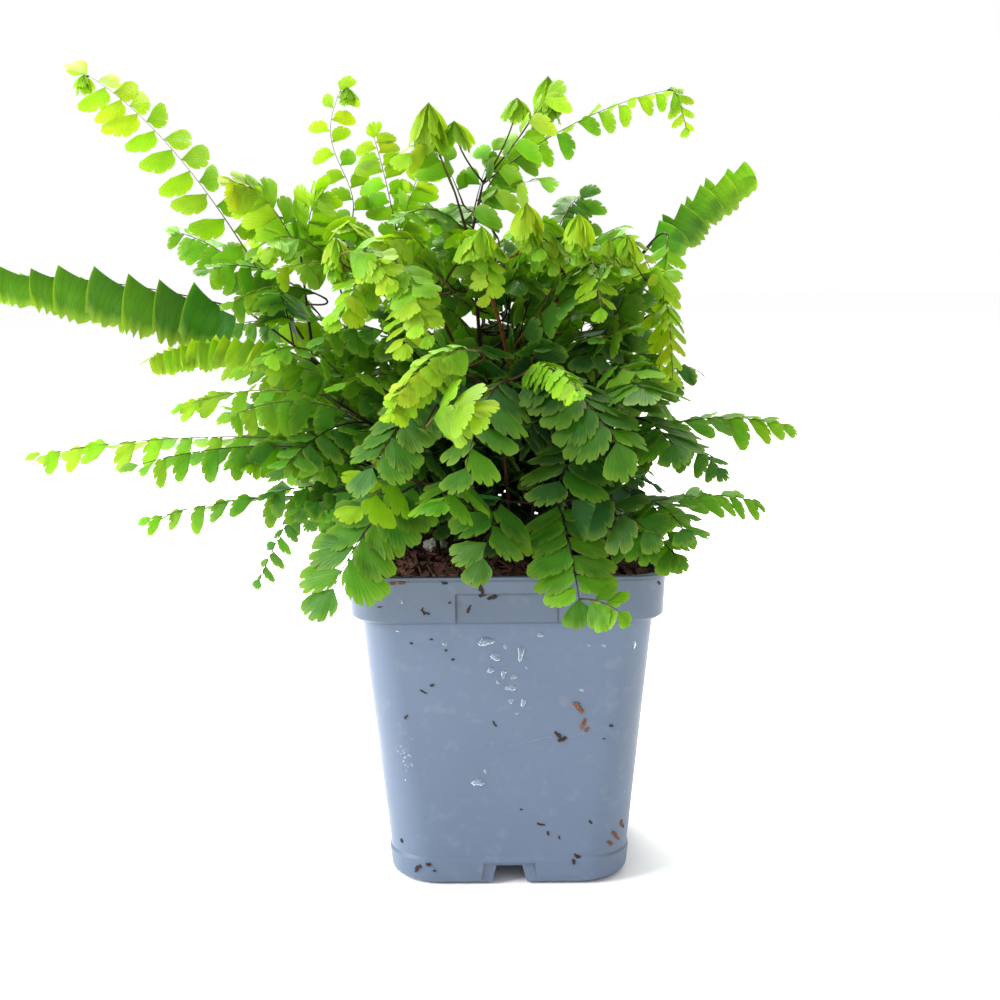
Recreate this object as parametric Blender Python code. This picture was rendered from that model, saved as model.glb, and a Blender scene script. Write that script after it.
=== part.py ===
"""Imbricate northern maidenhair fern in a square nursery pot.

Lengths in the tables are millimetres and MM turns them into metres. +Z is up, the pot's front faces -Y,
+X is to its right, and the origin is the middle of the pot's foot on the ground.
"""
import math
import random
from collections import namedtuple

import bmesh
import bpy
from mathutils import Matrix, Vector
from mathutils.bvhtree import BVHTree

MM = 0.001
GAP = 0.3
UP = Vector((0.0, 0.0, 1.0))

# Pot
POT_HEIGHT = 95.0
POT_WALL = 1.3
LIP_HALF = 45.0
LIP_HEIGHT = 0.9
BAND_TOP_HALF = 44.5
BAND_FOOT_HALF = 44.0
BAND_FOOT_Z = 81.3
BAND_EDGE = 0.8
BODY_TOP_HALF = 41.3
BODY_FOOT_HALF = 34.3
FOOT_BAND_HEIGHT = 8.4
FOOT_BAND_STEP = 0.5
FOOT_FILLET = 3.0
TOP_CORNER = 9.0
FOOT_CORNER = 13.5
FLOOR_THICK = 1.6
INNER_FILLET = 2.0
CORNER_STEPS = 4

# How far a cutter reaches past the face that it cuts
PAST = 2.0

# Label recess in the rim band, front and back
LABEL_WIDTH = 28.7
LABEL_TOP_Z = 90.1
LABEL_DEPTH = 0.9

# Drain notch in the middle of each side
NOTCH_TOP_WIDTH = 7.5
NOTCH_FOOT_WIDTH = 10.7
NOTCH_HEIGHT = 6.0
NOTCH_REACH = 16.0
FRAME_TOP_WIDTH = 15.0
FRAME_FOOT_WIDTH = 16.5
FRAME_HEIGHT = 7.2
FRAME_DEPTH = 0.5
DRAIN_WIDTH = 4.0
DRAIN_LENGTH = 7.0

# Soil and stone
SOIL_LEVEL = 89.5
SOIL_BUMP = 1.2
SOIL_CELLS = 9
CHIP_COUNT = 9
CHIP_REACH = 38.0
CHIP_LENGTHS = (5.0, 10.0)
CHIP_WIDTHS = (2.5, 5.0)
CHIP_HEIGHTS = (2.0, 3.0)
CHIP_LIFTS = (-0.4, 1.0)
CHIP_TILT = 0.3
STONE_CENTRE = (-22.0, 7.0)
STONE_SIZE = (8.0, 6.0, 5.0)
STONE_SWELL = (0.85, 1.15)
HOLE_DEPTH = 8.0
HOLE_SIDES = 4

# Stems, leaf ribs and blades
STIPE_RADIUS = 0.75
ARM_RADIUS = 0.6
STEM_SIDES = 5
ARM_SIDES = 4
STRAIGHT_FOOT = 3.0
STIPE_RISE = 0.6
STIPE_LEAN = 0.12
STIPE_RINGS = 5
RIB_HALF = 0.45
BLADE_THICK = 0.62
RIB_STEPS = 12
BARE_RIB = 3.5
PITCH = 1.0
WIDEST_PITCH = 10.8
SWEEP = 0.12

# A leaflet's outline as (reach from the rib, way along the rib): the margin towards the root is straight,
# the far margin is cut into lobes.
LEAFLET = [(0.93, 0.02), (1.0, 0.42), (0.80, 0.84), (0.60, 0.68), (0.30, 0.88)]
SMALL_LEAFLET = [(0.96, 0.06), (0.92, 0.62), (0.36, 0.90)]
SMALL_LEAF = 11.5
END_LEAFLET = [(0.42, 0.45), (0.0, 0.95), (-0.42, 0.45)]
END_SHARE = 1.25

# What a leaflet tries in turn to stay clear of the others: a share of its size and a change of its droop.
WAYS_CLEAR = [(1.0, 0.0), (0.85, 0.0), (0.85, 20.0), (0.85, -20.0), (0.65, 0.0), (0.65, 25.0), (0.65, -25.0)]
CLEAR_SCALE = 1.07
TRIM = 0.2

Pinna = namedtuple("Pinna", "arm at tip lift leaf face droop")
Frond = namedtuple("Frond", "name colour foot fork arms pinnae")

LIME = (0.22, 0.45, 0.02)
GREEN = (0.09, 0.28, 0.02)
DARK = (0.03, 0.14, 0.03)

# Each frond stands at its foot on the soil, forks at a point, and carries its pinnae on two arms. A pinna
# leaves its arm at a share of the arm's length, arches by its lift and ends at its tip. Leaf is the length
# of its leaflets, face is how far they are turned from lying flat towards the front, and droop is how far
# both rows hang from the rib. The fronds nearest the front come first, because they keep all their leaflets.
FRONDS = [
    Frond("frond_front_left", LIME, (-7, -14), (-14, -34, 118),
          [(-26, -44, 122), (-8, -44, 120)],
          [Pinna(0, 0.70, (-46, -60, 96), 6, 12, 50, 8),
           Pinna(0, 0.96, (-42, -60, 115), 2, 12, 55, 8),
           Pinna(1, 0.96, (-16, -74, 122), 3, 11, 40, 20)]),
    Frond("frond_front_centre", GREEN, (7, -13), (8, -36, 114),
          [(16, -44, 116), (0, -44, 116)],
          [Pinna(0, 0.70, (19, -62, 93), 4, 12, 55, 8),
           Pinna(0, 0.96, (36, -62, 112), 3, 11, 45, 15),
           Pinna(1, 0.96, (-6, -62, 100), 5, 11, 55, 10)]),
    Frond("frond_front_lime", LIME, (1, -10), (-4, -36, 146),
          [(-13, -44, 152), (8, -44, 152)],
          [Pinna(0, 0.60, (-28, -78, 145), 6, 9, 40, 35),
           Pinna(0, 0.96, (-34, -70, 130), 4, 12, 50, 15),
           Pinna(1, 0.40, (-10, -84, 132), 6, 12, 45, 25),
           Pinna(1, 0.70, (18, -76, 150), 4, 9, 40, 30),
           Pinna(1, 0.96, (28, -70, 136), 4, 11, 45, 20)]),
    Frond("frond_right_low", GREEN, (16, -8), (28, -18, 106),
          [(42, -10, 106), (38, -30, 112)],
          [Pinna(0, 0.96, (74, 2, 107), 3, 9, 30, 25),
           Pinna(1, 0.96, (45, -50, 102), 5, 11, 40, 15),
           Pinna(1, 0.50, (46, -62, 112), 5, 11, 40, 15)]),
    Frond("frond_left_low", GREEN, (-20, -7), (-34, -8, 116),
          [(-50, -8, 128), (-44, -18, 112)],
          [Pinna(0, 0.96, (-138, -5, 124), 3, 10, 10, 60),
           Pinna(0, 0.60, (-104, -26, 124), 4, 10, 10, 60),
           Pinna(1, 0.96, (-104, -14, 106), 3, 8, 10, 45),
           Pinna(1, 0.60, (-74, -8, 86), 13, 8, 20, 30),
           Pinna(0, 0.30, (-74, 40, 112), 6, 10, 10, 35)]),
    Frond("frond_centre_lime", LIME, (-4, -4), (-21, -15, 168),
          [(-32, -20, 175), (-13, -21, 180)],
          [Pinna(0, 0.96, (-44, -46, 166), 6, 10, 40, 25),
           Pinna(0, 0.50, (-26, -52, 160), 6, 10, 40, 25),
           Pinna(1, 0.96, (-8, -40, 184), 5, 9, 45, 30),
           Pinna(1, 0.60, (-32, -42, 186), 5, 10, 45, 30)]),
    Frond("frond_right_mid", GREEN, (18, -1), (32, -6, 126),
          [(44, 0, 129), (30, -22, 138)],
          [Pinna(0, 0.96, (81, -5, 131), 3, 9, 25, 30),
           Pinna(0, 0.40, (60, -26, 122), 4, 10, 35, 20),
           Pinna(1, 0.96, (36, -56, 148), 4, 11, 40, 15),
           Pinna(1, 0.60, (44, -54, 133), 4, 12, 45, 15),
           Pinna(1, 0.30, (14, -58, 124), 5, 12, 45, 15)]),
    Frond("frond_centre_young", LIME, (6, -2), (-7, -22, 178),
          [(-3, -26, 184), (4, -24, 182)],
          [Pinna(0, 0.90, (-5, -40, 172), 6, 6, 45, 20),
           Pinna(1, 0.90, (13, -34, 180), 4, 9, 50, 20)]),
    Frond("frond_left_mid", GREEN, (-12, -8), (-36, -16, 132),
          [(-52, -14, 142), (-42, -30, 138)],
          [Pinna(0, 0.96, (-93, -11, 139), 3, 9, 15, 55),
           Pinna(0, 0.40, (-84, 4, 149), 4, 9, 15, 45),
           Pinna(1, 0.96, (-74, -42, 140), 4, 10, 25, 40),
           Pinna(1, 0.50, (-60, -48, 126), 4, 11, 40, 20)]),
    Frond("frond_left_long", GREEN, (-16, 0), (-48, 0, 144),
          [(-78, 5, 166), (-56, -14, 152)],
          [Pinna(0, 0.96, (-166, -2, 176), 4, 15, 0, 68),
           Pinna(1, 0.96, (-102, -14, 153), 5, 10, 10, 62),
           Pinna(0, 0.50, (-64, -22, 172), 4, 9, 40, 20)]),
    Frond("frond_left_high", LIME, (-13, 10), (-58, 8, 152),
          [(-75, 12, 178), (-60, 2, 182)],
          [Pinna(0, 0.96, (-129, 22, 238), 7, 11, 45, 8),
           Pinna(0, 0.45, (-98, 16, 188), 4, 9, 35, 20),
           Pinna(1, 0.60, (-84, -12, 178), 4, 9, 35, 25),
           Pinna(1, 0.96, (-76, -8, 202), 5, 10, 45, 25),
           Pinna(1, 0.80, (-54, -6, 198), 4, 10, 50, 20)]),
    Frond("frond_centre_tall", LIME, (-6, 6), (-10, -5, 185),
          [(-6, -2, 202), (-14, -7, 199)],
          [Pinna(0, 0.96, (48, 8, 228), 4, 7, 20, 45),
           Pinna(0, 0.60, (12, -12, 225), 1, 10, 50, 15),
           Pinna(1, 0.96, (-26, -16, 210), 7, 9, 50, 35),
           Pinna(1, 0.40, (10, -16, 202), 3, 9, 45, 20),
           Pinna(0, 0.30, (-12, 34, 192), 4, 10, 20, 25)]),
    Frond("frond_right_brown", GREEN, (10, 5), (17, -10, 176),
          [(10, -15, 186), (28, -8, 182)],
          [Pinna(0, 0.96, (10, -36, 184), 7, 9, 45, 30),
           Pinna(0, 0.60, (23, 10, 198), 3, 9, 40, 20),
           Pinna(1, 0.50, (26, -38, 168), 7, 10, 45, 25),
           Pinna(1, 0.96, (42, -14, 176), 7, 8, 45, 30)]),
    Frond("frond_centre_left", GREEN, (-11, 17), (-36, 6, 170),
          [(-48, 5, 186), (-31, 3, 186)],
          [Pinna(0, 0.96, (-48, 12, 229), -1, 8, 50, 15),
           Pinna(1, 0.96, (-38, 8, 215), 2, 10, 60, 15),
           Pinna(1, 0.60, (-24, 2, 206), 2, 9, 60, 20),
           Pinna(0, 0.50, (-44, -20, 190), 5, 9, 45, 25),
           Pinna(0, 0.75, (-66, 36, 180), 4, 10, 20, 30),
           Pinna(0, 0.25, (-34, 44, 178), 4, 10, 10, 30)]),
    Frond("frond_middle_low", DARK, (5, 13), (6, 0, 120),
          [(-6, 6, 126), (18, -8, 130)],
          [Pinna(0, 0.60, (-30, -34, 112), 6, 10, 40, 20),
           Pinna(0, 0.96, (-38, 44, 114), 4, 10, 0, 25),
           Pinna(1, 0.96, (4, -40, 132), 5, 10, 45, 20),
           Pinna(0, 0.30, (-4, 56, 118), 5, 10, -10, 25)]),
    Frond("frond_right_high", DARK, (15, 12), (38, 14, 158),
          [(42, 24, 180), (48, 8, 166)],
          [Pinna(0, 0.96, (74, 32, 206), 3, 10, 20, 45),
           Pinna(0, 0.40, (34, -8, 168), 5, 10, 35, 25),
           Pinna(1, 0.96, (48, -16, 146), 8, 10, 20, 30),
           Pinna(1, 0.40, (24, -24, 154), 5, 10, 40, 25)]),
    Frond("frond_back_left", DARK, (-7, 21), (-34, 38, 142),
          [(-50, 40, 152), (-30, 50, 156)],
          [Pinna(0, 0.96, (-88, 46, 158), 4, 10, 15, 30),
           Pinna(1, 0.96, (-40, 82, 160), 5, 10, -15, 30),
           Pinna(1, 0.50, (-62, 74, 140), 6, 10, -10, 30),
           Pinna(0, 0.50, (-82, 62, 132), 5, 10, 0, 30),
           Pinna(0, 0.25, (-64, 46, 126), 4, 10, 10, 30)]),
    Frond("frond_back_middle", DARK, (3, 20), (4, 40, 160),
          [(-8, 46, 172), (16, 46, 170)],
          [Pinna(0, 0.96, (-28, 54, 192), 3, 10, 10, 30),
           Pinna(0, 0.60, (-10, 82, 172), 6, 10, -20, 30),
           Pinna(1, 0.96, (38, 60, 188), 3, 10, 10, 30),
           Pinna(1, 0.50, (20, 82, 154), 7, 10, -20, 30),
           Pinna(0, 0.30, (4, 66, 188), 3, 10, -10, 30)]),
    Frond("frond_back_right", DARK, (13, 20), (38, 42, 128),
          [(50, 44, 136), (36, 54, 138)],
          [Pinna(0, 0.60, (62, 52, 142), 4, 10, 15, 30),
           Pinna(1, 0.96, (48, 84, 136), 6, 10, -15, 30),
           Pinna(1, 0.50, (16, 78, 122), 6, 10, -15, 30),
           Pinna(0, 0.30, (58, 64, 122), 5, 10, 0, 30)]),
]


def clear_scene():
    for thing in list(bpy.data.objects):
        bpy.data.objects.remove(thing, do_unlink=True)


def material(name, colour, roughness):
    made = bpy.data.materials.new(name)
    made.use_nodes = True
    shader = made.node_tree.nodes["Principled BSDF"]
    shader.inputs["Base Color"].default_value = (*colour, 1.0)
    shader.inputs["Roughness"].default_value = roughness
    shader.inputs["Metallic"].default_value = 0.0
    made.diffuse_color = (*colour, 1.0)
    return made


def mesh_object(name, points, faces, surface=None):
    """Make an object from points in millimetres."""
    mesh = bpy.data.meshes.new(name)
    mesh.from_pydata([Vector(p) * MM for p in points], [], faces)
    thing = bpy.data.objects.new(name, mesh)
    bpy.context.scene.collection.objects.link(thing)
    if surface:
        mesh.materials.append(surface)
    return thing


def bake(thing):
    """Turn an object's evaluated shape into its mesh."""
    bpy.context.view_layer.update()
    seen = thing.evaluated_get(bpy.context.evaluated_depsgraph_get())
    shape = bpy.data.meshes.new_from_object(seen)
    thing.modifiers.clear()
    thing.data = shape


def combine(thing, others, operation, solver="EXACT"):
    """Join, cut or intersect an object with others, which are then removed."""
    group = bpy.data.collections.new("operands")
    for other in others:
        group.objects.link(other)
    step = thing.modifiers.new(operation.lower(), "BOOLEAN")
    step.operation = operation
    step.solver = solver
    step.operand_type = "COLLECTION"
    step.collection = group
    bake(thing)
    for other in others:
        bpy.data.objects.remove(other, do_unlink=True)
    bpy.data.collections.remove(group)


# Pot
def rounded_square(half, corner, z):
    """One level of the pot: a square with round corners, anticlockwise from above."""
    centre = half - corner
    points = []
    for quarter, (sx, sy) in enumerate([(1, 1), (-1, 1), (-1, -1), (1, -1)]):
        for step in range(CORNER_STEPS + 1):
            angle = math.radians(90.0 * (quarter + step / CORNER_STEPS))
            points.append((sx * centre + corner * math.cos(angle), sy * centre + corner * math.sin(angle), z))
    return points


def loft(name, levels, surface=None):
    """A closed solid through levels of equal point count, with flat ends."""
    count = len(levels[0])
    points = [point for level in levels for point in level]
    faces = [list(reversed(range(count)))]
    for row in range(len(levels) - 1):
        for i in range(count):
            near, far = row * count + i, row * count + (i + 1) % count
            faces.append([near, far, far + count, near + count])
    faces.append(list(range((len(levels) - 1) * count, len(levels) * count)))
    return mesh_object(name, points, faces, surface)


def body_half(z):
    """Outer half width of the tapering wall at a height."""
    return BODY_FOOT_HALF + (BODY_TOP_HALF - BODY_FOOT_HALF) * z / BAND_FOOT_Z


def body_corner(z):
    return FOOT_CORNER + (TOP_CORNER - FOOT_CORNER) * z / POT_HEIGHT


def inner_levels(gap, top):
    """Levels of the pot's inside, from its floor to a height, kept a gap away from the wall."""
    inset = POT_WALL + gap
    floor = FLOOR_THICK + gap
    ledge = BAND_FOOT_Z + POT_WALL
    rows = [(body_half(floor) - inset - INNER_FILLET, floor),
            (body_half(floor) - inset, floor + INNER_FILLET),
            (body_half(ledge - gap) - inset, ledge + gap),
            (BAND_FOOT_HALF - inset, ledge + gap + INNER_FILLET),
            (BAND_TOP_HALF - inset, top)]
    return [rounded_square(half, body_corner(z) - inset, z) for half, z in rows]


def trapezoid(foot_width, top_width, height, near, far, foot=-PAST):
    """A prism with sloping sides that runs along Y from near to far, standing on the ground or below."""
    slope = (foot_width - top_width) / height / 2.0
    wide = foot_width / 2.0 - foot * slope
    narrow = top_width / 2.0
    ring = [(-wide, foot), (wide, foot), (narrow, height), (-narrow, height)]
    points = [(x, y, z) for y in (near, far) for x, z in ring]
    faces = [[0, 1, 2, 3], [7, 6, 5, 4]]
    for i in range(4):
        faces.append([i, i + 4, (i + 1) % 4 + 4, (i + 1) % 4])
    return points, faces


def on_each_side(name, shape):
    """Four copies of a shape made for the front, one turned to each side of the pot."""
    points, faces = shape
    copies = []
    for quarter in range(4):
        cos, sin = [(1, 0), (0, 1), (-1, 0), (0, -1)][quarter]
        turned = [(x * cos - y * sin, x * sin + y * cos, z) for x, y, z in points]
        copies.append(mesh_object(name, turned, faces))
    return copies


def label_cutters():
    """Blocks for the recess in the rim band at the front and the back."""
    half = LABEL_WIDTH / 2.0
    inner = (BAND_FOOT_HALF + BAND_TOP_HALF) / 2.0 - LABEL_DEPTH
    outer = LIP_HALF + PAST
    foot = BAND_FOOT_Z - PAST
    cutters = []
    for side in (-1, 1):
        near, far = sorted((side * inner, side * outer))
        ring = [(-half, foot), (half, foot), (half, LABEL_TOP_Z), (-half, LABEL_TOP_Z)]
        points = [(x, y, z) for y in (near, far) for x, z in ring]
        faces = [[0, 1, 2, 3], [7, 6, 5, 4]] + [[i, i + 4, (i + 1) % 4 + 4, (i + 1) % 4] for i in range(4)]
        cutters.append(mesh_object("label", points, faces))
    return cutters


def make_pot():
    plastic = material("pot_plastic", (0.22, 0.30, 0.42), 0.45)
    foot_half = body_half(0.0) + FOOT_BAND_STEP
    bulge = FOOT_FILLET * (1.0 - math.sqrt(0.5))
    rows = [(foot_half - FOOT_FILLET, 0.0),
            (foot_half - bulge, bulge),
            (body_half(FOOT_FILLET) + FOOT_BAND_STEP, FOOT_FILLET),
            (body_half(FOOT_BAND_HEIGHT) + FOOT_BAND_STEP, FOOT_BAND_HEIGHT),
            (body_half(FOOT_BAND_HEIGHT), FOOT_BAND_HEIGHT + FOOT_BAND_STEP),
            (body_half(BAND_FOOT_Z), BAND_FOOT_Z),
            (BAND_FOOT_HALF - BAND_EDGE, BAND_FOOT_Z),
            (BAND_FOOT_HALF, BAND_FOOT_Z + BAND_EDGE),
            (BAND_TOP_HALF, POT_HEIGHT - LIP_HEIGHT),
            (LIP_HALF, POT_HEIGHT - LIP_HEIGHT),
            (LIP_HALF, POT_HEIGHT)]
    outside = [rounded_square(half, body_corner(z), z) for half, z in rows]
    inside = list(reversed(inner_levels(0.0, POT_HEIGHT)))
    pot = loft("pot", outside + inside, plastic)

    side_wall = body_half(0.0) + FOOT_BAND_STEP + PAST
    inner_wall = body_half(0.0) - POT_WALL
    housing = trapezoid(NOTCH_FOOT_WIDTH + 2 * POT_WALL, NOTCH_TOP_WIDTH + 2 * POT_WALL,
                        NOTCH_HEIGHT + POT_WALL, -inner_wall, -inner_wall + NOTCH_REACH,
                        foot=FLOOR_THICK / 2.0)
    combine(pot, on_each_side("housing", housing), "UNION")
    tunnel = trapezoid(NOTCH_FOOT_WIDTH, NOTCH_TOP_WIDTH, NOTCH_HEIGHT,
                       -side_wall, -inner_wall + NOTCH_REACH - POT_WALL)
    combine(pot, on_each_side("tunnel", tunnel), "DIFFERENCE")
    surround = trapezoid(FRAME_FOOT_WIDTH, FRAME_TOP_WIDTH, FRAME_HEIGHT,
                         -side_wall, -foot_half + FRAME_DEPTH)
    combine(pot, on_each_side("surround", surround), "DIFFERENCE")
    drain_far = -inner_wall + NOTCH_REACH - 2.0 * POT_WALL
    drain = trapezoid(DRAIN_WIDTH, DRAIN_WIDTH, 2.0 * NOTCH_HEIGHT, drain_far - DRAIN_LENGTH, drain_far,
                      foot=0.5 * NOTCH_HEIGHT)
    combine(pot, on_each_side("drain", drain), "DIFFERENCE")
    combine(pot, label_cutters(), "DIFFERENCE")
    return pot


# Soil and stone
def chip(centre, size, turn, tilt):
    """A bark chip: a low wedge-shaped block turned about Z and tipped."""
    points = []
    for sx, sy, sz in [(x, y, z) for x in (-1, 1) for y in (-1, 1) for z in (-1, 1)]:
        taper = 0.7 if sx > 0 else 1.0
        p = Vector((sx * size[0] / 2, sy * size[1] * taper / 2, sz * size[2] / 2))
        p.z += p.x * math.tan(tilt)
        points.append((centre[0] + p.x * math.cos(turn) - p.y * math.sin(turn),
                       centre[1] + p.x * math.sin(turn) + p.y * math.cos(turn),
                       centre[2] + p.z))
    faces = [[0, 1, 3, 2], [4, 6, 7, 5], [0, 4, 5, 1], [2, 3, 7, 6], [0, 2, 6, 4], [1, 5, 7, 3]]
    return mesh_object("chip", points, faces)


def lumpy_block(reach, foot, level, bump, cells, rng):
    """A block whose top is a grid of uneven heights."""
    step = 2.0 * reach / cells
    points = []
    for row in range(cells + 1):
        for column in range(cells + 1):
            points.append((-reach + column * step, -reach + row * step, level + rng.uniform(-bump, bump)))
    side = cells + 1
    top_count = len(points)
    rim = ([i for i in range(side)] + [side * (r + 1) + cells for r in range(cells)]
           + [top_count - 2 - i for i in range(cells)] + [side * (cells - 1 - r) for r in range(cells - 1)])
    base = [len(points) + i for i in range(len(rim))]
    points += [(points[i][0], points[i][1], foot) for i in rim]
    faces = []
    for row in range(cells):
        for column in range(cells):
            a = row * side + column
            faces.append([a, a + 1, a + side + 1])
            faces.append([a, a + side + 1, a + side])
    for i in range(len(rim)):
        j = (i + 1) % len(rim)
        faces.append([rim[j], rim[i], base[i], base[j]])
    faces.append(list(reversed(base)))
    return mesh_object("lumps", points, faces)


def stem_hole(foot):
    """The plain hole in the soil that a stem stands in."""
    x, y = foot
    radius = (STIPE_RADIUS + GAP) / math.cos(math.pi / HOLE_SIDES)
    levels = [[(x + radius * math.cos(a), y + radius * math.sin(a), z)
               for a in (math.tau * i / HOLE_SIDES for i in range(HOLE_SIDES))]
              for z in (SOIL_LEVEL - HOLE_DEPTH, POT_HEIGHT + PAST)]
    return loft("hole", levels)


def make_soil():
    rng = random.Random(11)
    soil = loft("soil", inner_levels(GAP, POT_HEIGHT - 0.5), material("soil_mix", (0.07, 0.03, 0.02), 0.95))
    lumps = lumpy_block(LIP_HALF + PAST, -PAST, SOIL_LEVEL, SOIL_BUMP, SOIL_CELLS, rng)
    chips = []
    for _ in range(CHIP_COUNT):
        x, y = rng.uniform(-CHIP_REACH, CHIP_REACH), rng.uniform(-CHIP_REACH, CHIP_REACH)
        size = (rng.uniform(*CHIP_LENGTHS), rng.uniform(*CHIP_WIDTHS), rng.uniform(*CHIP_HEIGHTS))
        height = SOIL_LEVEL + rng.uniform(*CHIP_LIFTS)
        chips.append(chip((x, y, height), size, rng.uniform(0, math.pi), rng.uniform(-CHIP_TILT, CHIP_TILT)))
    combine(lumps, chips, "UNION")
    combine(soil, [lumps], "INTERSECT")
    inner_wall = body_half(0.0) - POT_WALL
    skin = POT_WALL + 2.0 * GAP
    housing = trapezoid(NOTCH_FOOT_WIDTH + 2 * skin, NOTCH_TOP_WIDTH + 2 * skin, NOTCH_HEIGHT + skin,
                        -inner_wall - PAST, -inner_wall + NOTCH_REACH + 2.0 * GAP)
    combine(soil, on_each_side("housing", housing), "DIFFERENCE")
    combine(soil, [stem_hole(frond.foot) for frond in FRONDS], "DIFFERENCE")
    return soil


def resting_height(target, shape):
    """How far a shape can come down before it is a gap away from the target below it."""
    tree = BVHTree.FromObject(target, bpy.context.evaluated_depsgraph_get())
    drops = []
    for vertex in shape.data.vertices:
        start = Vector((vertex.co.x, vertex.co.y, POT_HEIGHT * MM * 2))
        hit = tree.ray_cast(start, -UP)[0]
        if hit:
            drops.append(vertex.co.z - hit.z)
    return min(drops) - GAP * MM


def make_stone(soil):
    rng = random.Random(5)
    ball = bmesh.new()
    bmesh.ops.create_icosphere(ball, subdivisions=1, radius=0.5)
    points = []
    for vertex in ball.verts:
        swell = rng.uniform(*STONE_SWELL)
        points.append([vertex.co[i] * STONE_SIZE[i] * swell for i in range(3)])
    faces = [[v.index for v in face.verts] for face in ball.faces]
    ball.free()
    centre = (*STONE_CENTRE, POT_HEIGHT + STONE_SIZE[2])
    points = [[p[i] + centre[i] for i in range(3)] for p in points]
    stone = mesh_object("stone", points, faces, material("stone_white", (0.8, 0.78, 0.72), 0.9))
    drop = resting_height(soil, stone)
    stone.data.transform(Matrix.Translation(-UP * drop))
    return stone


# Fronds
Spot = namedtuple("Spot", "centre along across normal")
Leaflet = namedtuple("Leaflet", "points normal")


def arch_point(start, end, lift, share):
    """A point on the way between two points, which rises by its lift at the middle."""
    control = (start + end) / 2.0 + UP * 2.0 * lift
    return start * (1.0 - share) ** 2 + control * (2.0 * share * (1.0 - share)) + end * share ** 2


def arch_way(start, end, lift, share):
    control = (start + end) / 2.0 + UP * 2.0 * lift
    return ((control - start) * (1.0 - share) + (end - control) * share).normalized()


def stipe_path(frond):
    """Straight up out of its hole in the soil, then leaning over to the fork."""
    x, y = frond.foot
    foot = Vector((x, y, SOIL_LEVEL - HOLE_DEPTH + GAP))
    start = Vector((x, y, SOIL_LEVEL + STRAIGHT_FOOT))
    fork = Vector(frond.fork)
    control = start + UP * (STIPE_RISE * (fork.z - start.z)) + (fork - start) * STIPE_LEAN
    path = [foot]
    for step in range(STIPE_RINGS):
        share = step / (STIPE_RINGS - 1)
        path.append(start * (1 - share) ** 2 + control * (2 * share * (1 - share)) + fork * share ** 2)
    return path


def tube(name, path, first_radius, last_radius, sides):
    """A closed tapering bar through a list of points."""
    side = None
    levels = []
    last = len(path) - 1
    for i, centre in enumerate(path):
        way = (path[min(i + 1, last)] - path[max(i - 1, 0)]).normalized()
        side = way.orthogonal() if side is None else side - way * side.dot(way)
        side.normalize()
        across = way.cross(side)
        radius = first_radius + (last_radius - first_radius) * i / last
        ring = []
        for corner in range(sides):
            angle = math.tau * corner / sides
            ring.append(centre + (side * math.cos(angle) + across * math.sin(angle)) * radius)
        levels.append(ring)
    return loft(name, levels)


def stems(frond):
    """The stipe and the two arms, as closed bars that meet inside the fork."""
    bars = [tube("stipe", stipe_path(frond), STIPE_RADIUS, ARM_RADIUS, STEM_SIDES)]
    fork = Vector(frond.fork)
    for end in frond.arms:
        bars.append(tube("arm", [fork, Vector(end)], ARM_RADIUS, ARM_RADIUS, ARM_SIDES))
    return bars


def pinna_root(frond, pinna):
    return Vector(frond.fork).lerp(Vector(frond.arms[pinna.arm]), pinna.at)


def spot_at(root, pinna, distance):
    """Where the rib is at a distance from its root, and which way its blade lies there."""
    tip = Vector(pinna.tip)
    share = min(distance / rib_length(root, pinna), 1.0)
    along = arch_way(root, tip, pinna.lift, share)
    turn = math.radians(pinna.face)
    facing = Vector((0.0, -math.sin(turn), math.cos(turn)))
    normal = (facing - along * facing.dot(along)).normalized()
    return Spot(arch_point(root, tip, pinna.lift, share), along, along.cross(normal), normal)


def rib_length(root, pinna):
    points = [arch_point(root, Vector(pinna.tip), pinna.lift, i / RIB_STEPS) for i in range(RIB_STEPS + 1)]
    return sum((b - a).length for a, b in zip(points, points[1:]))


def leaf_size(pinna, share):
    """Leaflets grow a little after the root and shrink towards the tip."""
    return pinna.leaf * (0.9 + 0.25 * share - 0.65 * share ** 2)


def leaflet_at(root, pinna, distance, side, pitch, size, droop):
    """A leaflet's outline in one plane, from its start on the rib to its end."""
    spot = spot_at(root, pinna, distance)
    angle = math.radians(droop)
    out = spot.across * (side * math.cos(angle)) - spot.normal * math.sin(angle)
    normal = spot.normal * math.cos(angle) + spot.across * (side * math.sin(angle))
    outline = LEAFLET if pinna.leaf > SMALL_LEAF else SMALL_LEAFLET
    edge = spot.centre + spot.across * (side * RIB_HALF)
    points = []
    for reach, way in outline:
        reach *= size
        points.append(edge + out * reach + spot.along * (way * pitch + reach * SWEEP))
    return Leaflet(points, normal)


def leaflet_ends(root, pinna, distance, side, pitch):
    """The two points on the rib's edge where a leaflet grows."""
    ends = []
    for place in (distance, distance + pitch):
        spot = spot_at(root, pinna, place)
        ends.append(spot.centre + spot.across * (side * RIB_HALF))
    return ends


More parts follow.
